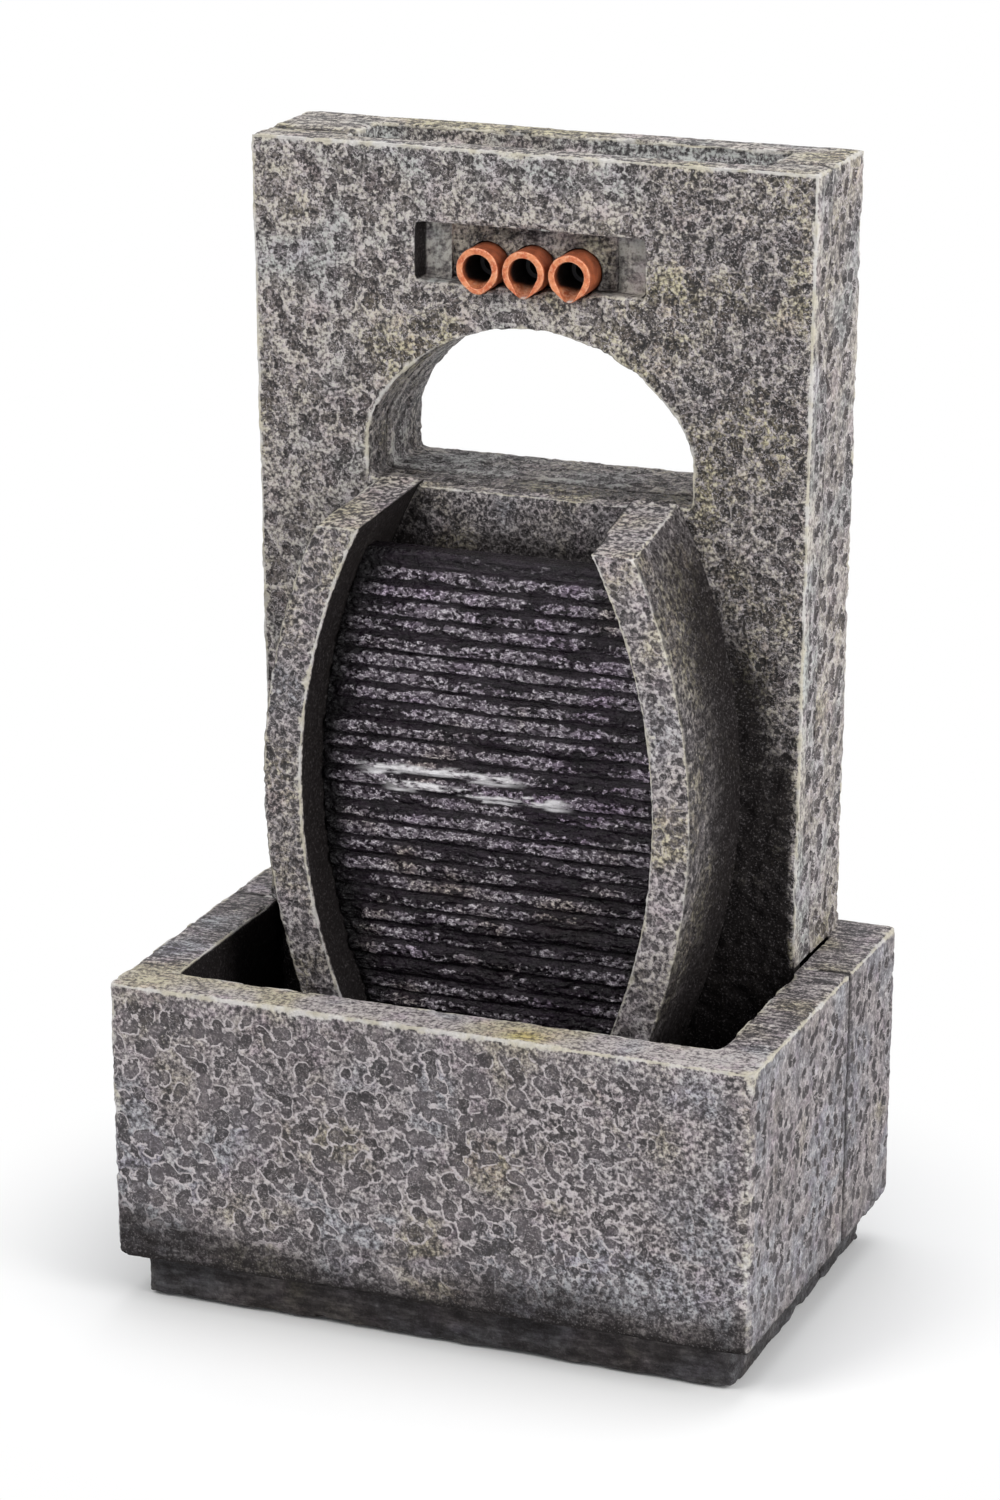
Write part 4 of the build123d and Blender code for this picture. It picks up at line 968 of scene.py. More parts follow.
# x and z of every lattice corner of the wall, for column i and row k, seen from the front. There
# are three bands of columns, left of, over and right of the window, and bands of rows up to the
# top. The window is a rectangle of columns and rows whose sides lie on the jambs and the arch.
def wallLattice(step):
    half, sill, keel = wall["windowHalf"], wall["sill"], wall["keelLow"]
    side = places((0.0, wall["sideWidth"]), step)
    middle = places(wall["columns"], step)
    nSide, nMiddle = len(side) - 1, len(middle) - 1
    low = places(wall["rows"], step)
    cut = math.radians(wall["haunchCut"]) * wall["haunch"]
    jambCount = int(round((wall["spring"] - sill + cut) / step))
    archCount = int(round((keel - wall["crown"]) / step)) + 8
    high = (keel, wall["nicheLow"], wall["nicheHigh"], wall["backing"][2], wall["chamberTop"])
    high = places((*high, wall["recessFloor"], wall["top"]), step)
    nLow, nHigh = len(low) - 1, len(high) - 1
    kSill, kArch = nLow, nLow + jambCount
    kStraight = kArch + archCount
    rows = kStraight + nHigh
    jambX, jambZ = jambPoints(np.linspace(0, 1, jambCount + 1))
    rise = np.linspace(0, 1, archCount + 1)
    archSideX = (jambX[-1] + (half - jambX[-1]) * rise)[1:]
    archSideZ = (jambZ[-1] + (keel - jambZ[-1]) * rise)[1:]
    sideX = np.concatenate([np.full(nLow, half), jambX, archSideX, np.full(nHigh, half)])
    sideZ = np.concatenate([low[:-1], jambZ, archSideZ, high[1:]])
    outerZ = sideZ.copy()
    outerZ[kSill:kStraight + 1] = np.linspace(sill, keel, kStraight - kSill + 1)
    columns = 2 * nSide + nMiddle
    x = np.zeros((columns + 1, rows + 1))
    z = np.zeros((columns + 1, rows + 1))
    share = np.linspace(0, 1, nSide + 1)[:, None]
    for hand in (-1, 1):
        footX = wall["footHalf"] - hand * wall["middle"]
        edgeX = np.where(outerZ < wall["rim"] - 0.1, footX, wallHalf(outerZ))
        acrossX = hand * (edgeX + (sideX - edgeX) * share)
        acrossZ = outerZ + (sideZ - outerZ) * share
        if hand < 0:
            x[:nSide + 1], z[:nSide + 1] = acrossX, acrossZ
        else:
            x[nSide + nMiddle:], z[nSide + nMiddle:] = acrossX[::-1], acrossZ[::-1]
    inner = slice(nSide, nSide + nMiddle + 1)
    x[inner, :] = middle[:, None] / half * sideX[None, :]
    z[inner, :] = sideZ[None, :]
    archX, archZ = archPoints(np.linspace(0, 1, nMiddle + 1))
    x[inner, kArch:kStraight + 1] = archX[:, None] + (middle - archX)[:, None] * rise
    z[inner, kArch:kStraight + 1] = archZ[:, None] + (keel - archZ)[:, None] * rise
    marks = {
        "window": (nSide, nSide + nMiddle, kSill, kArch),
        "rim": nearestIndex(low, wall["rim"]),
        "chamberTop": kStraight + nearestIndex(high, wall["chamberTop"]),
        "recessFloor": kStraight + nearestIndex(high, wall["recessFloor"]),
        "shell": int(round(wall["shell"] / step)),
        "straight": kStraight,
    }
    return x + wall["middle"], z, marks


cheeks = {
    "half": 83.7,
    "bow": 235.0,
    "middle": 192.0,
    "flare": 110.0,
    "foot": 60.0,
    "thickness": 15.6,
    "front": -30.2,
    "rear": 23.5,
    "low": 30.0,
    "shoulder": 285.0,  # the rows above it slope with the top
    "topFront": 291.5,
    "topRear": 298.0,
    "ledge": (249.0, 255.0, -1.2, 5.0),  # from z to z, from y, and how far it reaches in
    "step": 1.1,
    "strokeSize": (5.0, 16.0, 3.0),
    "dents": dict(cell=(4.8, 4.8), radius=(1.4, 2.5), present=0.85, oval=0.4, waver=1.7, bare=0.3),
    "outerDents": dict(cell=(6.4, 6.0), radius=(1.6, 2.9), present=0.85, oval=0.35, waver=1.6, bare=0.2),
}


# half the cascade's width at a height, drawn in by an inset: the upper arc, the reverse arc below
# the flare, and the upright foot
def bowedHalf(inset, height):
    z = np.asarray(height, float)
    sine = (cheeks["middle"] - cheeks["flare"]) / cheeks["bow"]
    cosine = math.sqrt(1 - sine * sine)
    footRadius = (cheeks["flare"] - cheeks["foot"]) / sine
    lensX = cheeks["half"] - cheeks["bow"]
    footX = lensX + (cheeks["bow"] + footRadius) * cosine
    upper, lower = cheeks["bow"] - inset, footRadius + inset
    turn = cheeks["middle"] - upper * sine
    bowed = lensX + np.sqrt(np.maximum(upper**2 - (z - cheeks["middle"]) ** 2, 0))
    flared = footX - np.sqrt(np.maximum(lower**2 - np.maximum(z - cheeks["foot"], 0) ** 2, 0))
    return np.where(z > turn, bowed, flared)


# cells within a rectangle with rounded corners, from their distances to its middle
def roundedCells(dx, dz, halfX, halfZ, radius):
    past = (dx > halfX - radius) & (dz > halfZ - radius)
    cut = past & (np.hypot(dx - halfX + radius, dz - halfZ + radius) > radius)
    return (dx < halfX) & (dz < halfZ) & ~cut


# One half of the wall: the lattice carried back through a row of depths, with the window, the
# chamber and the recess out, and in front the niche, behind the cover's rebate. The paint is
# darker on the front's right and round the spouts, with painted shade beside the cheek, in the
# window's reveals and on the niche's ends, and a thin dark line marks the seam. The niche's edges
# are little rubbed.
def makeWallHalf(name, node, rear, knots, seed):
    wallX, wallZ, marks = wallLattice(wall["step"] * coarse)
    depths = places(knots, wall["depthStep"] * coarse)
    middle, front, niche = wall["middle"], wall["front"], wall["nicheHalf"]
    rim, seam, shellDepth = wall["rim"], wall["seam"], wall["shell"]
    columns, rows = wallX.shape[0] - 1, wallX.shape[1] - 1
    cellX = (wallX[1:, 1:] + wallX[:-1, :-1]) / 2
    cellZ = (wallZ[1:, 1:] + wallZ[:-1, :-1]) / 2
    midX, midZ = cellX[:, None, :], cellZ[:, None, :]
    midY = between(depths)[None, :, None]
    i, k = np.arange(columns)[:, None, None], np.arange(rows)[None, None, :]
    left, right, low, high = marks["window"]
    shell = marks["shell"]
    solid = np.ones((columns, len(depths) - 1, rows), bool)
    solid &= ~((i >= left) & (i < right) & (k >= low) & (k < high))
    ring = (i >= left - shell) & (i < right + shell) & (k >= low - shell) & (k < high + shell)
    chamber = (k >= marks["rim"]) & (k < marks["chamberTop"]) & ~ring & (i >= shell) & (i < columns - shell)
    coverZ, halfX, halfZ, openX, openZ, radius, seat = wall["cover"]
    if rear:
        solid &= (k >= marks["rim"]) & ~(chamber & (midY < wall["rear"] - shellDepth))
        dx, dz = np.abs(cellX - middle), np.abs(cellZ - coverZ)
        straight = np.arange(rows)[None, :] < low
        rebate = roundedCells(dx, dz, halfX, halfZ, radius) & straight
        opening = roundedCells(dx, dz, openX, openZ, radius) & straight
        pegX, pegZ, pegRadius = wall["peg"]
        pegs = (np.hypot(dx - pegX, dz - pegZ) < pegRadius) & straight
        solid &= ~(rebate[:, None, :] & (midY > seat)) & ~((opening | pegs)[:, None, :])
        for h, v in ((-1, -1), (-1, 1), (1, -1), (1, 1)):
            for cells, wide, tall in ((rebate, halfX, halfZ), (opening, openX, openZ)):
                at = (middle + h * (wide - radius), coverZ + v * (tall - radius))
                drawToCircle(wallX, wallZ, cells, at, radius, (h, v))
            drawToCircle(wallX, wallZ, pegs, (middle + h * pegX, coverZ + v * pegZ), pegRadius)
    else:
        solid &= ~(chamber & (midY > front + shellDepth))
        solid &= (k >= marks["rim"]) | (midY < front + shellDepth)
        localX = np.abs(midX - middle)
        wider, backingLow, backingTop = wall["backing"]
        backing = (localX < niche + wider) & (midZ > backingLow) & (midZ < backingTop) & (k >= high)
        solid |= backing & (midY < wall["nicheBacking"])
        over = k >= marks["straight"]
        cut = (localX < niche) & (midZ > wall["nicheLow"]) & (midZ < wall["nicheHigh"]) & over
        solid &= ~(cut & (midY < wall["nicheBack"]))
        for place in spouts["places"]:
            wide = np.abs(midX - place) < spoutHalf(spouts["axis"] - midZ, spouts["gap"])
            solid &= ~(wide & (midY < wall["nicheBacking"]) & over)
        plate = k < marks["rim"]
        doorHalf, doorTop = wall["pumpDoor"]
        drainX, drainHalf, drainTop = wall["drains"]
        solid &= ~(plate & (localX < doorHalf) & (midZ < doorTop))
        solid &= ~(plate & (np.abs(np.abs(midX) - drainX) < drainHalf) & (midZ < drainTop))
    x0, x1, y0, y1 = wall["recess"]
    solid &= ~((midX > x0) & (midX < x1) & (midY > y0) & (midY < y1) & (k >= marks["recessFloor"]))
    lattice = np.empty((columns + 1, len(depths), rows + 1, 3))
    lattice[..., 0] = wallX[:, None, :]
    lattice[..., 1] = depths[None, :, None]
    lattice[..., 2] = wallZ[:, None, :]
    points, quads, normals = skinOf(lattice, solid)
    x, y, z = points.T
    nx, ny, nz = normals.T
    noise = noiseOf(points, seed)
    # where on the stone each corner lies
    local = np.abs(x - middle)
    insideX = wallHalf(z) - local
    inWindow = (local < wall["windowHalf"] + 0.5) & (z > wall["sill"] - 0.5) & (z < wall["crown"] + 0.5)
    inNiche = (y > front + 1) & (y < wall["nicheBack"] + 1) & (local < niche + 0.8) & (not rear)
    inNiche = inNiche & (z > wall["nicheLow"] - 0.6) & (z < wall["nicheHigh"] + 0.6)
    hollow = (y < wall["rear"] - shellDepth + 0.1) if rear else (y > front + shellDepth - 0.1)
    hollow = hollow & (insideX > 5) & (z < 415) & ~inWindow & ~inNiche
    reveal = inWindow & (np.abs(ny) < 0.7) & ~hollow
    atRim = (z < rim + 0.01) & rear
    seatY = (np.abs(y - seat) < 0.02) | (np.abs(y - wall["rear"] + shellDepth) < 0.02)
    rebateNear = rear & (local < halfX + 1.5) & (np.abs(z - coverZ) < halfZ + 1.5)
    movable = np.where(hollow | atRim | rebateNear & (seatY | (np.abs(ny) < 0.5)), 0.0, 1.0)
    movable = np.where((insideX < 3) & (z < rim + 5), 0.3 * movable, movable)
    face = ny * (1 if rear else -1) > 0.6
    flank = (np.abs(nx) > 0.6) & (insideX < 1.5)
    onTop = ramp(nz, 0.35, 0.8) * (z > 400)
    inRecess = (x > x0 - 0.6) & (x < x1 + 0.6) & (y > y0 - 0.6) & (y < y1 + 0.6)
    inRecess = inRecess & (z > wall["recessFloor"] - 1)
    band = flank * ramp(y + 2 * noise(12.0, 2, 9), 33, 28) * (not rear)
    # dents, strokes and the rubbed recess
    hammered = np.where(flank, wall["flankRelief"] * (1 - 0.9 * band), np.where(reveal, 1.0, 0.15))
    hammered = np.where(inNiche | inRecess, 0.0, np.where(face, 1.0, hammered))
    strokes = onTop * np.where(inRecess, 1.6, 0.8) + 0.35 * reveal + 0.6 * inNiche + 0.5 * band
    patterns = [(everywhere, wall["dents"]), (flank, wall["flankDents"])]
    moved, fields = carve(points, quads, normals, movable, hammered, strokes, patterns, seed, wall)
    sunk = wall["sunk"] * ramp(noise((13.0, 7.0, 8.0), 3, 3), -0.1, 0.5) * inRecess * (nz > 0.6)
    moved[:, 2] -= sunk
    seamGap = bell(y, seam, wall["seamWidth"]) * ((insideX < 2) | inWindow | (z > wall["top"] - 2))
    groove = wall["groove"] * seamGap * movable * np.where(flank, 0.4, 1.0)
    moved[:, 0] -= nx * groove
    moved[:, 2] -= nz * groove
    moved[np.abs(y - seam) < 0.01, 1] = seam
    # paint
    tone, warm = tints(noise)
    # face by face, painted light and shade: the flanks a little lighter, the tops a little darker and the
    # reveals darker; a pale band down the front of each flank
    tone = tone + 0.2 * band + 0.04 * flank * (1 - band) - (0.02 if rear else 0.2) * reveal
    tone = tone + 0.15 * inNiche - 0.05 * onTop
    tone = tone + (0.03 * ramp(z, 240, 400) - 0.21 * ramp(x, 25, 60) * (not rear)) * face
    tone = tone + 0.7 * reveal * bell(y, seam + 4, 1.3)
    # painted shade: dark on the front's right beside the cheek below about 285, and across the low part of
    # the right
    besideCheek = ramp(local - bowedHalf(0, z) + 5 * noise(16.0, 2, 11), 27, 5)
    shade = besideCheek * ramp(z + 9 * noise(22.0, 2, 12), 285, 222)
    deepShade = 0.95 * ramp(z + 9 * noise(24.0, 2, 13), 250, 190) * ramp(insideX, 0.5, 5)
    shade = np.maximum(shade, deepShade) * face * (x > 0) * (not rear)
    # painted shade in the window's reveals and beside the cheek; the rubbed recess's deeper floor and the
    # hollow inside darker
    soot = 0.55 * inRecess * (sunk > 0.5) + (0.3 if rear else 0.44) * reveal + 0.9 * hollow + 0.9 * shade
    soot = soot + 0.5 * inNiche * ramp(fromSpouts(x, z), 20, 8) + 0.3 * inNiche * ramp(x, 20, 34)
    # painted shade on the niche's end walls
    soot = soot + 0.95 * inNiche * (local > niche - 0.6)
    soot = soot + 0.8 * (y > front - 0.1) * (z < rim) * (not rear) + 0.35 * ramp(z, 160, 126) * face
    soot = np.maximum(soot, 0.85 * seamGap * np.where(flank, 0.4, 1.0))
    warm = warm + 0.2 * onTop + 0.25 * ramp(x, 40, 100) * face
    warm = warm - 0.4 * ramp(x, -40, -100) * ramp(z, 260, 180) * face
    warm = warm - 0.35 * flank - 0.6 * inNiche - 0.8 * inRecess - (0.3 if rear else -0.15) * reveal
    atNiche = (local < 47) & (z > 369) & (z < 397) & (y < 33) & (not rear)
    upper = atNiche & (z > 390) & (face | inNiche)
    fields["worn"] = fields["worn"] * (1 - seamGap) * np.where(upper, 0.1, np.where(atNiche, 0.45, 1.0))
    fields["own"] = np.where(flank, 0.6 + 0.4 * fields["own"], fields["own"])
    grainy = np.where(flank | inNiche, 0.5, 1.0)
    fields.update(tone=tone, warm=warm, soot=soot, strokes=strokes, grainy=grainy)
    makePiece(name, moved, quads, fields, wallStone, node)


makeWallHalf("wallFront", "tower_front", False, wall["frontDepths"], 111)
makeWallHalf("wallRear", "tower_rear", True, wall["rearDepths"], 112)


# A cheek: cells through its thickness, its depth and its height, with the ledge inside. t counts
# the millimetres from the outer face, the first stretch through the cheek, the next over the ledge.
def makeCheek(name, node, hand, seed):
    step = cheeks["step"] * coarse
    thick, front, shoulder = cheeks["thickness"], cheeks["front"], cheeks["shoulder"]
    low, high, ledgeFront, ledgeWide = cheeks["ledge"]
    through = places((0.0, thick, thick + ledgeWide), step)
    deep = places((front, ledgeFront, cheeks["rear"]), step)
    up = places((cheeks["low"], low, high, shoulder, cheeks["topRear"]), step)
    (midT, midY, midZ), (t, y, z) = cellsAndCorners(through, deep, up)
    solid = (midT < thick) | ((midZ > low) & (midZ < high) & (midY > ledgeFront))
    slope = (cheeks["topRear"] - cheeks["topFront"]) * (y - front) / (cheeks["rear"] - front)
    top = cheeks["topFront"] + slope
    tallest = cheeks["topRear"] - shoulder
    z = np.where(z > shoulder, shoulder + (z - shoulder) * (top - shoulder) / tallest, z)
    outer, inner = bowedHalf(0, z), bowedHalf(thick, z)
    ledgeX = float(bowedHalf(thick, high)) - ledgeWide
    onLedge = inner + (ledgeX - inner) * (t - thick) / ledgeWide
    x = np.where(t <= thick + 0.01, outer + (inner - outer) * t / thick, onLedge)
    points, quads, normals = skinOf(np.stack([wall["middle"] + hand * x, y, z], axis=3), solid, hand > 0)
    x, y, z = points.T
    nx, ny, nz = normals.T
    noise = noiseOf(points, seed)
    outerHalf = bowedHalf(0, z)
    local = np.abs(x - wall["middle"])
    outward = nx * hand
    frontFace = ny < -0.6
    outerSide = (outward > 0.5) & (np.abs(local - outerHalf) < 0.6)
    innerSide = (outward < -0.4) & (y > front + 1.2)
    onTop = ramp(nz, 0.35, 0.8) * (z > 270)
    besideSlate = (local < outerHalf - thick + 0.4) & (y > -10.5)
    movable = np.where((y > cheeks["rear"] - 0.1) | (z < cheeks["low"] + 0.1) | besideSlate, 0.0, 1.0)
    hammered = np.where(frontFace, 1.0, np.where(outerSide, 0.9, np.where(innerSide, 0.25, 0.1)))
    strokes = 0.9 * onTop + 0.45 * outerSide + 0.35 * innerSide
    patterns = [(everywhere, cheeks["dents"]), (outerSide, cheeks["outerDents"])]
    moved, fields = carve(points, quads, normals, movable, hammered, strokes, patterns, seed, cheeks)
    tone, warm = tints(noise)
    lower = ramp(z + 8 * noise(14.0, 2, 3), 175, 95)
    # the right cheek's front lighter and the left's darker; face by face, painted light and shade: the tops a
    # little lighter, the outer sides a little darker
    tone = tone + (0.11 if hand > 0 else -0.09) * frontFace + 0.03 * onTop - 0.02 * outerSide
    warm = warm + np.where(frontFace, 0.15, 0.0) + 0.4 * onTop + 0.4 * outerSide + 0.2 * lower
    # painted shade: black on the inner sides beside the slate, and on the outer sides, darker towards the
    # wall behind and low down; the front darker low down
    back = ramp(y + 7 * noise(11.0, 2, 4), -24, 16)
    soot = np.where(innerSide, 1.05, 0.35 * lower * (0.5 + 0.5 * frontFace))
    soot = np.maximum(soot, outerSide * (0.57 + 0.4 * back * ramp(z, 305, 250) + 0.25 * lower))
    fields["worn"] = fields["worn"] * np.where(frontFace | (onTop > 0.2) | (y < front + 3.2), 1.25, 0.7)
    fields.update(tone=tone, warm=warm, soot=soot, strokes=strokes, grainy=np.where(innerSide, 0.6, 1.0))
    makePiece(name, moved, quads, fields, cheekStone, node)


makeCheek("cheekLeft", "cheek_left", -1, 121)
makeCheek("cheekRight", "cheek_right", 1, 122)

slate = {
    "low": 30.0,
    "lip": 280.0,
    "pitch": 6.6,
    "front": -9.5,
    "back": -1.5,
    "reach": 3.2,
    "inset": 15.9,
    "widest": 136.0,
    "stepX": 0.85,
    "rowsPerCourse": 11,
    "mean": 0.72,
    "swing": 0.28,
    "turn": 2.4,
    "bright": ((197.0, -50.0, 8.0), (190.2, -40.0, 26.0)),  # painted highlights on two courses: height, from x, to x
}


slateLook = {
    # how each noise is stretched, its size in millimetres, its detail and its roughness
    "clouds": (
        ((0.7, 1.0, 1.0), 1.5, 3.0, 0.62),  # grain
        ((0.3, 0.5, 1.0), 2.6, 4.0, 0.62),  # flakes
        ((0.35, 1.0, 1.0), 8.0, 3.0, 0.6),  # patches
        ((0.07, 1.0, 1.0), 0.9, 3.0, 0.6),  # lines
        ((0.7, 1.0, 1.0), 1.7, 2.0, 0.5),  # folds
        ((0.3, 1.0, 1.0), 3.0, 3.0, 0.6),  # cracks
    ),
    "drift": 26.0,
    "deep": (0.0040, 0.0022, 0.0044),
    "deepPale": (0.015, 0.0092, 0.0155),
    "grainDark": (0.022, 0.0155, 0.023),
    "grainPale": (0.185, 0.158, 0.187),
    "vein": (0.64, 0.60, 0.64),
    "line": (0.10, 0.086, 0.105),
    "olive": (1.05, 0.98, 0.72),
    "purple": (1.02, 0.88, 1.08),
    "plate": (0.30, 0.275, 0.30),
    "plateWhite": (0.78, 0.76, 0.78),
    "end": (0.006, 0.005, 0.006),
    "relief": 0.0011,
}


# Wet split slate. Grooves are near black, noses carry crinkled grey-lilac grains, partly paint and
# partly painted highlights of the wet stone, with painted glints on them, and the whole is glossy,
# less so on the pale grains. Olive and purple drift over it, and painted shade darkens the ends to
# black. Two courses carry painted highlights: pale plates with dark cracks.
def wetSlate(name, look):
    material, tree, where = emptyMaterial(name)
    band, ends, shine, dryness = readings(tree, "band ends shine dryness")
    made = [clouds(stretched(where, way), *shape) for way, *shape in look["clouds"]]
    grain, flakes, patches, lines, folds, cracks = made
    drift = clouds(where, look["drift"], 2.0, 0.5)
    deep = blended(eased(flakes, 0.35, 0.65), look["deep"], look["deepPale"])
    pale = blended(eased(grain, 0.38, 0.6), look["grainDark"], look["grainPale"])
    # painted glints of the wet stone, white on the grains' fine folds
    pale = blended(eased(abs(folds - 0.5), 0.05, 0.012) * eased(grain, 0.44, 0.56), pale, look["vein"])
    # the pale grains, partly paint and partly painted highlights of the wet stone, show where this is high,
    # on the noses
    dryAndSheen = grain + swing(patches, 1.5) + (band - 1.0) * 0.5 + dryness
    colour = blended(eased(dryAndSheen, 0.40, 0.52) * eased(band, 0.35, 0.75), deep, pale)
    colour = blended(eased(lines, 0.56, 0.7) * 0.3, colour, look["line"])
    colour = tinted(eased(drift, 0.54, 0.74) * 0.6, colour, look["olive"])
    colour = tinted(eased(drift, 0.48, 0.3) * 0.8, colour, look["purple"])
    # the two courses of painted highlights: pale plates with dark cracks, where the shine attribute is
    plate = blended(eased(cracks, 0.40, 0.52), look["plate"], look["plateWhite"])
    colour = blended(shine * eased(abs(cracks - 0.42), 0.006, 0.022), colour, plate)
    # painted shade at the ends
    colour = blended(ends, colour, look["end"])
    cells = {"Vector": stretched(where, (0.6, 1.0, 1.0)), "Scale": 520.0, "Randomness": 1.0}
    chips = Flow(put(tree, "ShaderNodeTexVoronoi", {"feature": "F1"}, cells), "Distance")
    gloss = eased(grain, 0.25, 0.75) * 0.26 + 0.16
    inputs = {"Base Color": colour, "Roughness": gloss, "Specular IOR Level": 0.24}
    coated(tree, grain * 1.2 + flakes * 1.6 - chips * (band * 0.9), 1.0, look["relief"], inputs)
    return material


# The cascade: a grid over its width and height. Each course swells from its groove to its nose
# and back, by a half wave flattened at the top, with a reach of its own; its lines waver, and the
# face is crinkled. The grid's edges are carried back to the flat rear, which has few faces.
def makeCascade():
    rowHeight = slate["pitch"] / slate["rowsPerCourse"] * coarse
    z = places((slate["low"], slate["lip"]), rowHeight)
    across = np.linspace(-1, 1, int(round(slate["widest"] / (slate["stepX"] * coarse))) + 1)
    half = bowedHalf(slate["inset"], z)
    x = across[None, :] * half[:, None]
    z = np.repeat(z[:, None], len(across), axis=1)
    flat = np.stack([x.ravel(), np.zeros(x.size), z.ravel()], axis=1)
    lift = (z.ravel() - slate["low"]) / slate["pitch"]
    sway = 0.11 * rough(flat, (26.0, 9.0, 5.0), 3, 131)
    course = np.floor(lift + sway)
    within = lift + sway - course
    own = slate["mean"] + slate["swing"] * np.sin(slate["turn"] * course)
    swell = np.clip(1.3 * np.sin(np.pi * within) ** 0.85, 0, 1)
    perCourse = np.stack([flat[:, 0], course * 40.0, np.zeros(len(flat))], axis=1)
    broken = 0.68 + 0.6 * rough(perCourse, (8.0, 9.0, 9.0), 3, 135)
    crinkle = rough(flat, (3.4, 3.0, 1.7), 3, 137)
    lip = ramp(flat[:, 2], slate["lip"] - 6.5, slate["lip"] - 4.5)
    # painted highlights on two courses, broken along their length
    shine = np.zeros(len(flat))
    for height, fromX, toX in slate["bright"]:
        near = bell(flat[:, 2] + 1.3 * rough(flat, (16, 9, 9), 2, 141), height, 2.3)
        near = ramp(near, 0.42, 0.52) * ramp(flat[:, 0], fromX - 6, fromX + 4)
        shine += near * ramp(flat[:, 0], toX + 8, toX - 4)
    shine = np.clip(shine * ramp(rough(flat, (9.0, 3.0, 2.2), 3, 143), -0.4, -0.2), 0, 1)
    reach = slate["reach"] * own * np.clip(broken, 0.2, 1.1) * swell * (1 - lip) + 0.5 * lip
    reach = np.maximum(reach, shine * 0.85 * slate["reach"] * swell)
    bite = 0.95 * (crinkle + 0.2) * swell * (1 - 0.8 * lip) * (1 - 0.75 * shine)
    sand = 0.28 * (grit(flat, 5, 911.0) - 0.5) * swell
    out = np.clip(reach + bite + sand, 0.0, slate["reach"])
    atEdge = np.zeros(x.shape, bool)
    atEdge[:, [0, -1]] = True
    atEdge[0, :] = True
    out = np.where(atEdge.ravel(), np.minimum(out, 1.2), out)
    y = slate["front"] - out + ramp(flat[:, 2], slate["lip"] - 1.4, slate["lip"])
    points = np.stack([flat[:, 0] + wall["middle"], y, flat[:, 2]], axis=1)
    rows, columns = x.shape
    number = np.arange(rows * columns).reshape(rows, columns)
    face = gridQuads(rows, columns)
    edge = np.concatenate([number[0, :], number[1:, -1], number[-1, -2::-1], number[-2:0:-1, 0]])
    depthRows = max(3, int(round(6 / coarse)))
    layers = []
    for share in np.linspace(0, 1, depthRows + 1)[1:]:
        layer = points[edge].copy()
        layer[:, 1] = points[edge, 1] + (slate["back"] - points[edge, 1]) * share
        layers.append(layer)
    first = np.concatenate([[edge], (len(points) + np.arange(depthRows * len(edge))).reshape(depthRows, -1)])
    strip = gridQuads(depthRows + 1, len(edge), wrapColumns=True)
    band = first.ravel()[strip][:, ::-1]
    back = first[-1]
    bottom, side = back[:columns], back[columns - 1:columns + rows - 1]
    topRow = back[columns + rows - 2:2 * columns + rows - 2]
    other = np.concatenate([[back[0]], back[2 * columns + rows - 3:][::-1]])
    other = other[:rows]
    wide = np.stack([side[1:-2], other[1:-2], other[2:-1], side[2:-1]], axis=1)
    faces = face.tolist() + band.tolist() + wide.tolist()
    faces.append(bottom[::-1].tolist() + [int(other[1]), int(side[1])])
    faces.append([int(side[-2]), int(other[-2])] + topRow[::-1].tolist())
    allPoints = np.concatenate([points] + layers)
    extra = len(allPoints) - len(points)
    left = flat[:, 0] + half.repeat(columns)
    right = half.repeat(columns) - flat[:, 0]
    wander = 3.5 * rough(flat, (9.0, 9.0, 7.0), 2, 139)
    # painted shade: the ends beside the cheeks fade to black, and the lower part halfway
    ends = np.maximum(ramp(left + wander, 12, 2), ramp(right + wander, 6, 0.5))
    ends = np.maximum(ends, 0.5 * ramp(flat[:, 2], 120, 40))
    # how much of each nose carries pale grains and painted highlights, more higher up
    calm = 0.5 + 0.5 * rough(perCourse, (30.0, 60.0, 9.0), 2, 145)
    dryness = 0.03 * ramp(flat[:, 2], 150, 230) - 0.06 * ramp(flat[:, 2], 160, 110) - 0.11 * calm + 0.02
    fields = {
        "band": np.concatenate([swell * (1 - 0.5 * lip), np.zeros(extra)]),
        "ends": np.concatenate([ends, np.full(extra, 0.5)]),
        "shine": np.concatenate([shine, np.zeros(extra)]),
        "dryness": np.concatenate([dryness, np.zeros(extra)]),
    }
    material = wetSlate("wetSlate", slateLook)
    makePiece("slateCascade", allPoints, faces, fields, material, "slate_cascade")


makeCascade()

trough = {
    "low": 255.0,
    "floor": 261.0,
    "top": 297.0,
    "front": -1.5,
    "wallFront": 18.5,
    "back": 23.5,
    "inset": 15.9,
    "step": 1.0,
    "strokeSize": (16.0, 5.0, 3.0),
    "dents": dict(cell=(6.0, 3.8), radius=(1.2, 2.1), present=0.8, oval=0.4, waver=1.8, bare=0.2),
}


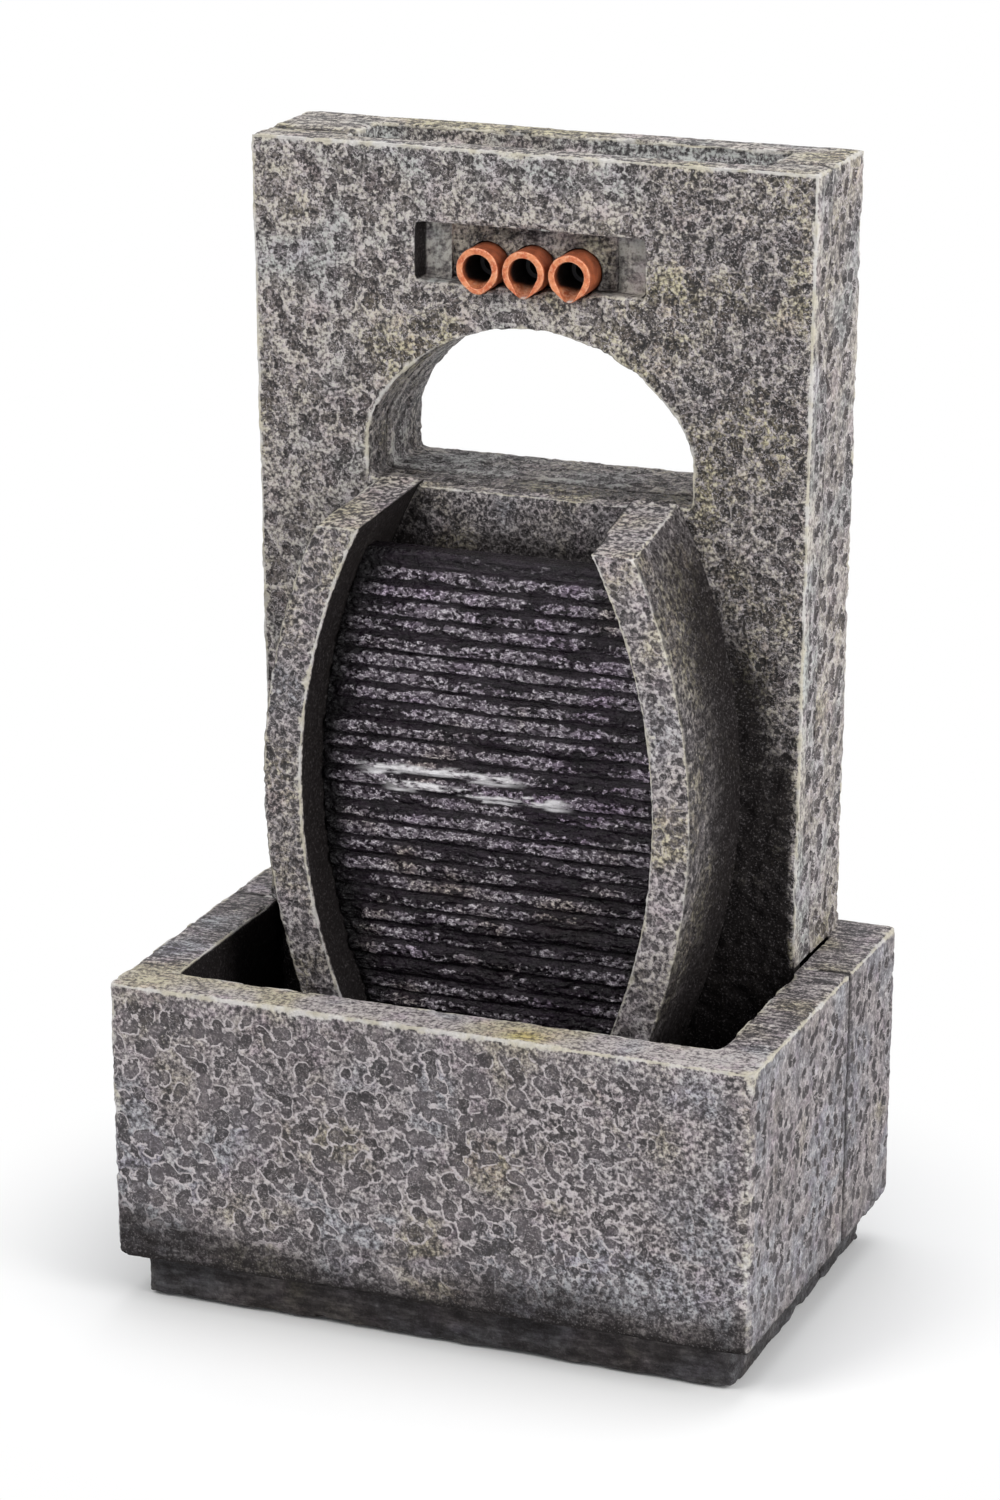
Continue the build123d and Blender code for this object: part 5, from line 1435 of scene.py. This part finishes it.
# the trough: an L of cells, as wide at each height as the cheeks leave it
def makeTrough(seed):
    step = trough["step"] * coarse
    across = places((-50, 50), step)
    deep = places((trough["front"], trough["wallFront"], trough["back"]), step)
    up = places((trough["low"], trough["floor"], trough["top"]), step)
    (_, midY, midZ), (x, y, z) = cellsAndCorners(across, deep, up)
    solid = (midZ < trough["floor"]) | (midY > trough["wallFront"])
    x = wall["middle"] + x / 50.0 * bowedHalf(trough["inset"], z)
    points, quads, normals = skinOf(np.stack([x, y, z], axis=3), solid)
    x, y, z = points.T
    gap = bowedHalf(trough["inset"], z) - np.abs(x - wall["middle"])
    against = (y > trough["back"] - 0.1) | (y < trough["front"] + 0.1)
    against = against | (z < trough["low"] + 0.01) | (gap < 0.2)
    onTop = ramp(normals[:, 2], 0.4, 0.8)
    hammered, strokes = np.where(onTop > 0.4, 0.2, 0.8), 0.6 * onTop
    patterns = [(everywhere, trough["dents"])]
    movable = np.where(against, 0.0, 1.0)
    moved, fields = carve(points, quads, normals, movable, hammered, strokes, patterns, seed, trough)
    tone, warm = tints(noiseOf(points, seed))
    sill = onTop * (z > 290)
    # painted shade, with wet stone: darker down into the trough and beside the cheeks; the sill's top stays
    # light
    soot = np.where(sill > 0.3, 0.1, 0.5 * ramp(z, 292, 268) + 0.3 * ramp(gap, 14, 2) + 0.3)
    fields.update(tone=tone + 0.1 * sill, warm=warm + 0.3 * sill)
    fields.update(soot=soot, strokes=strokes, grainy=np.ones(len(x)))
    makePiece("catchTrough", moved, quads, fields, troughStone, "catch_trough")


makeTrough(151)

mortar = {
    "middle": -2.2,
    "halfWidth": 32.1,
    "front": 29.0,
    "back": 32.0,
    "low": 372.6,
    "high": 393.4,
    "cut": 6.08,  # half of what is cut out for a spout below its shoulder
    "step": 0.6,
}


# the mortar: a thin block whose lower cells are out where the spouts pass. The sides of each gap
# lie on the spout's outline, and its top on the circle over the spout.
def makeMortar(seed):
    step = mortar["step"] * coarse
    cut, axis, middle = mortar["cut"], spouts["axis"], mortar["middle"]
    knots = [middle - mortar["halfWidth"]]
    for place in spouts["places"]:
        knots += [place - cut, place + cut]
    knots.append(middle + mortar["halfWidth"])
    wide = spouts["radius"] + spouts["gap"]
    shoulder = axis + math.sqrt(wide ** 2 - cut * cut)
    deep, up = (mortar["front"], mortar["back"]), (mortar["low"], shoulder, mortar["high"])
    (midX, _, midZ), (x, y, z) = cellsAndCorners(places(knots, step), places(deep, step), places(up, step))
    solid = np.ones(midX.shape, bool)
    for place in spouts["places"]:
        solid &= ~((np.abs(midX - place) < cut) & (midZ < shoulder))
    half = spoutHalf(axis - np.minimum(z, shoulder), spouts["gap"])
    newX, topZ = x.copy(), np.full(x.shape, shoulder)
    for number in range(len(knots) - 1):
        a, b = knots[number], knots[number + 1]
        here = (x >= a - 0.001) & (x <= b + 0.001) & (z <= shoulder + 0.001)
        if number % 2 == 0:
            low = np.full(x.shape, a) if number == 0 else spouts["places"][number // 2 - 1] + half
            high = np.full(x.shape, b) if number == len(knots) - 2 else spouts["places"][number // 2] - half
            newX = np.where(here, low + (high - low) * (x - a) / (b - a), newX)
        else:
            over = (x > a + 0.001) & (x < b - 0.001)
            rise = np.sqrt(np.maximum(wide ** 2 - (x - spouts["places"][number // 2]) ** 2, 0))
            topZ = np.where(over, axis + rise, topZ)
    share = np.clip((z - shoulder) / (mortar["high"] - shoulder), 0, 1)
    newZ = np.where(z >= shoulder - 0.001, topZ + (mortar["high"] - topZ) * share, z)
    points, quads, normals = skinOf(np.stack([newX, y, newZ], axis=3), solid)
    x, y, z = points.T
    movable = np.where((y > mortar["back"] - 0.1) | (z > mortar["high"] - 0.1), 0.0, 1.0)
    away = fromSpouts(x, z) - spouts["radius"]
    lumps = rough(points, 4.2, 3, seed)
    thin = ramp(away + 3 * lumps, 2.0, 6.5)
    ending = ramp(np.abs(x - middle) + 2 * lumps, 22, 31)
    push = (0.5 * (1 - lumps) + 1.9 * thin + 2.5 * ending) * (normals[:, 1] < -0.4) * movable
    moved = points.copy()
    moved[:, 1] = np.minimum(moved[:, 1] + push, mortar["back"] - 0.15)
    moved += normals * (0.25 * (grit(points, seed) - 1.0) * movable)[:, None]
    flat = np.zeros(len(x))
    soot = 0.35 * ramp(-lumps, 0.0, 0.5) * ramp(away, 12, 6) + 0.5 * ramp(away, 12, 0)
    soot = soot + 0.25 * ramp(x, 20, 34)
    fields = {"dent": flat + 3, "own": flat, "worn": flat, "hammered": flat + 0.4, "grainy": flat + 0.8}
    fields.update(tone=0.22 + 0.4 * lumps + 0.16 * ramp(away, 5, 13), warm=flat + 0.35)
    fields.update(soot=soot, strokes=flat + 0.4)
    makePiece("nicheMortar", moved, quads, fields, troughStone, "niche_mortar")


makeMortar(161)


clayLook = {
    "dull": ((0.27, 0.066, 0.026), (0.47, 0.125, 0.050)),
    "clean": ((0.53, 0.125, 0.045), (0.70, 0.245, 0.105)),
    "bright": (0.80, 0.43, 0.27),
    "pore": (0.13, 0.035, 0.016),
    "soot": (0.014, 0.008, 0.006),
    "glint": (0.95, 0.90, 0.84),
    "relief": 0.0005,
}


# Copper-coloured fired clay, rubbed. Where the rub attribute is high, which also carries painted
# light, the faces are painted lit, orange with bright grains; the hollows are brown-red; soot and
# painted shade lie inside the bore and where the stone begins, and a painted highlight lies on some lips.
def copperClay(name, look):
    material, tree, where = emptyMaterial(name)
    soot, rub, glint = readings(tree, "soot rub glint")
    grain = clouds(where, 1.0, 5.0, 0.7)
    patch = clouds(where, 3.6, 3.0, 0.6)
    dull = blended(eased(patch, 0.3, 0.7), *look["dull"])
    clean = blended(eased(patch, 0.4, 0.6), *look["clean"])
    colour = blended(eased(rub, 0.3, 0.8), dull, clean)
    # bright grains where the faces are painted lit: a painted sparkle of the copper
    colour = blended(eased(swing(grain, 1.8) + rub * 0.75, 0.55, 1.15), colour, look["bright"])
    colour = blended(eased(grain, 0.42, 0.3) * 0.6, colour, look["pore"])
    colour = blended(soot, colour, look["soot"])
    # the painted highlight on the lips
    colour = blended(glint, colour, look["glint"])
    inputs = {"Base Color": colour, "Roughness": grain * 0.25 + 0.3, "Metallic": 0.25}
    coated(tree, grain + patch * 0.8, 0.9, look["relief"], inputs)
    return material


# points at even steps round a drop: a large circle on the axis and a small one below it, and the
# two lines that touch both
def dropOutline(large, small, drop, count):
    turn = np.linspace(-math.pi / 2, 1.5 * math.pi, 721)[:-1]
    below = np.sin(turn) < -(large - small) / drop
    x = np.where(below, small, large) * np.cos(turn)
    z = np.where(below, small, large) * np.sin(turn) - below * drop
    x, z = np.append(x, x[0]), np.append(z, z[0])
    walked = np.concatenate([[0], np.cumsum(np.hypot(np.diff(x), np.diff(z)))])
    at = np.linspace(0, walked[-1], count + 1)[:-1]
    return np.interp(at, walked, x), np.interp(at, walked, z)


# A spout: rows of rings that go up the outside, over the rounded rim, down the bore and across the
# back. The mouth has a drop shape at the rim and turns to the round bore further in, and the rim's
# own outline is a little blunter than the pipe's.
def makeSpout(name, node, place, ends, material, seed):
    around = int(128 / coarse)
    edgeX, edgeZ = dropOutline(spouts["radius"], spouts["lipRadius"], spouts["lipDrop"], around)
    rimX, rimZ = dropOutline(*ends["rim"], around)
    mouthX, mouthZ = dropOutline(*ends["mouth"], around)
    angle = np.arctan2(mouthZ, mouthX)
    facets = 1 - 0.02 * np.abs(np.sin(angle * 4.5 + seed))
    boreX, boreZ = spouts["bore"] * facets * np.cos(angle), spouts["bore"] * facets * np.sin(angle)
    rear, front = spouts["rear"], spouts["front"]
    quarter = np.linspace(0, math.pi / 2, 5)
    rows = [(depth, 0.0) for depth in places((rear, front + 0.8), 0.7 * coarse)]
    rows += [(front + 0.8 * (1 - math.sin(a)), 0.26 * (1 - math.cos(a))) for a in quarter[1:]]
    rows += [(front, share) for share in (0.4, 0.55, 0.7)]
    rows += [(front + 0.6 * (1 - math.cos(a)), 0.82 + 0.18 * math.sin(a)) for a in quarter[1:]]
    rows += [(depth, 1.0) for depth in places((front + 1.3, front + ends["deep"], rear), 0.8 * coarse)]
    depth, share = (np.array(rows)[:, n][:, None] for n in (0, 1))
    narrow = ramp(depth, front + 0.6, front + ends["deep"])
    innerX = mouthX[None, :] + (boreX - mouthX)[None, :] * narrow
    innerZ = mouthZ[None, :] + (boreZ - mouthZ)[None, :] * narrow
    blunt = ramp(depth, front + 8, front + 3)
    outerX = edgeX[None, :] + (rimX - edgeX)[None, :] * blunt
    outerZ = edgeZ[None, :] + (rimZ - edgeZ)[None, :] * blunt
    x = outerX + (innerX - outerX) * share
    z = outerZ + (innerZ - outerZ) * share
    y = np.broadcast_to(depth, x.shape)
    points = np.stack([place + x, y, spouts["axis"] + z], axis=2).reshape(-1, 3)
    quads = gridQuads(len(rows), around, wrapRows=True, wrapColumns=True)
    normals = vertexNormals(points, quads)
    if (normals[:around, 0] * edgeX + normals[:around, 2] * edgeZ).sum() < 0:
        quads, normals = quads[:, ::-1], -normals
    lumps = 0.14 * (rough(points, 2.2, 2, seed) - 0.6) + 0.1 * (grit(points, seed) - 1)
    x, y, z = points.T
    calm = np.where(y > 33, 0.0, 1.0)
    share = share.ravel().repeat(around)
    within = share > 0.99
    trough = ramp(z - spouts["axis"], -3.2, -5.2)
    # painted shade: black from near the mouth inwards, later along the bottom, and a little round the stone
    # outside
    soot = np.where(within, ramp(y, 19.2 + 1.2 * trough, 22.5 + 5 * trough), 0.45 * ramp(y, 24, 30))
    # painted light, with rubbing: the ring's face and the lower floor of the bore painted lit, and a painted
    # highlight along the rim's edges
    ringFace = (normals[:, 1] < -0.5) & (y < 25)
    rimHighlight = np.maximum(ramp(share, 0.4, 0.1), ramp(share, 0.68, 0.9))
    rub = np.where(ringFace, 0.8 + 0.3 * rimHighlight, np.where(within, 0.95 * trough, 0.32))
    # a painted highlight on the floor of the cut spouts' lips
    across = x - place + 0.5 * rough(points, 1.5, 2, seed + 3)
    low = ramp(z - spouts["axis"], -6.6, -7.6) * ramp(y, front + 2.6, front + 1.0)
    glint = ends["glint"] * ramp(np.abs(across), 1.3, 0.6) * low * (share > 0.75)
    fields = {"soot": soot, "rub": rub, "glint": glint}
    moved = points + normals * (lumps * calm)[:, None]
    makePiece(name, moved, quads, fields, material, node, sharp=60)


clay = copperClay("copperClay", clayLook)
makeSpout("spoutLeft", "spout_left", spouts["places"][0], spouts["wholeRim"], clay, 171)
makeSpout("spoutMiddle", "spout_middle", spouts["places"][1], spouts["cutRim"], clay, 172)
makeSpout("spoutRight", "spout_right", spouts["places"][2], spouts["cutRim"], clay, 173)


# A moulded or turned finish: two shades in fine clouds, lines where it is wound or
# turned, and a grain in the surface
def partFinish(name, look):
    material, tree, where = emptyMaterial(name)
    grain = clouds(stretched(where, look.get("way", (1.0, 1.0, 1.0))), look["grain"], 4.0, 0.6)
    drift = clouds(where, 14.0, 3.0, 0.55)
    colour = blended(eased(grain * 0.6 + drift * 0.4, 0.35, 0.65), look["dark"], look["light"])
    if "bands" in look:
        way, scale = look["bands"]
        inputs = {"Vector": where, "Scale": scale, "Distortion": 0.3}
        wave = Flow(put(tree, "ShaderNodeTexWave", {"bands_direction": way}, inputs), "Fac")
        colour = blended(eased(wave, 0.35, 0.1) * 0.7, colour, look["line"])
        grain = grain + wave
    inputs = {"Base Color": colour, "Roughness": drift * 0.18 + look["gloss"]}
    inputs["Metallic"] = look.get("metal", 0.0)
    if "clear" in look:
        inputs.update({"Transmission Weight": look["clear"], "IOR": 1.45})
    coated(tree, grain, look["bump"], 0.0002, inputs)
    return material


finishes = {
    "black_rubber": dict(
        grain=0.5, dark=(0.016, 0.016, 0.017), light=(0.034, 0.034, 0.034), bump=0.35, gloss=0.62,
    ),
    "clear_hose": dict(
        grain=2.0, dark=(0.70, 0.74, 0.72), light=(0.86, 0.88, 0.86), bump=0.05, gloss=0.08, clear=0.8,
    ),
    "black_plastic": dict(
        grain=0.35, dark=(0.018, 0.018, 0.020), light=(0.040, 0.040, 0.044), bump=0.3, gloss=0.42,
    ),
    "grey_plastic": dict(
        grain=0.4, dark=(0.125, 0.125, 0.118), light=(0.185, 0.183, 0.172), bump=0.35, gloss=0.46,
    ),
    "rotor_plastic": dict(
        grain=0.5, dark=(0.030, 0.042, 0.075), light=(0.060, 0.080, 0.130), bump=0.2, gloss=0.35,
    ),
    "steel": dict(
        grain=0.6, dark=(0.42, 0.42, 0.43), light=(0.62, 0.62, 0.63), bump=0.2, gloss=0.24, metal=1.0,
        way=(1.0, 0.1, 1.0), bands=("X", 900.0), line=(0.12, 0.12, 0.12),
    ),
    "coil_copper": dict(
        grain=0.6, dark=(0.42, 0.15, 0.055), light=(0.68, 0.30, 0.13), bump=0.5, gloss=0.22, metal=1.0,
        bands=("Z", 1200.0), line=(0.12, 0.035, 0.015),
    ),
    "shaft_ceramic": dict(
        grain=0.5, dark=(0.78, 0.77, 0.73), light=(0.90, 0.89, 0.86), bump=0.05, gloss=0.16,
    ),
}
finished = {}
for subpart in frame["record"]["subparts"]:
    slotName = subpart["material_slot"]
    if slotName in finishes:
        if slotName not in finished:
            materialName = slotName.replace("_", " ").title().replace(" ", "")
            finished[slotName] = partFinish(materialName, finishes[slotName])
        mesh = frame["nodes"][subpart["node"]].data
        mesh.materials.clear()
        mesh.materials.append(finished[slotName])
print("fittings finished:", len(finished))
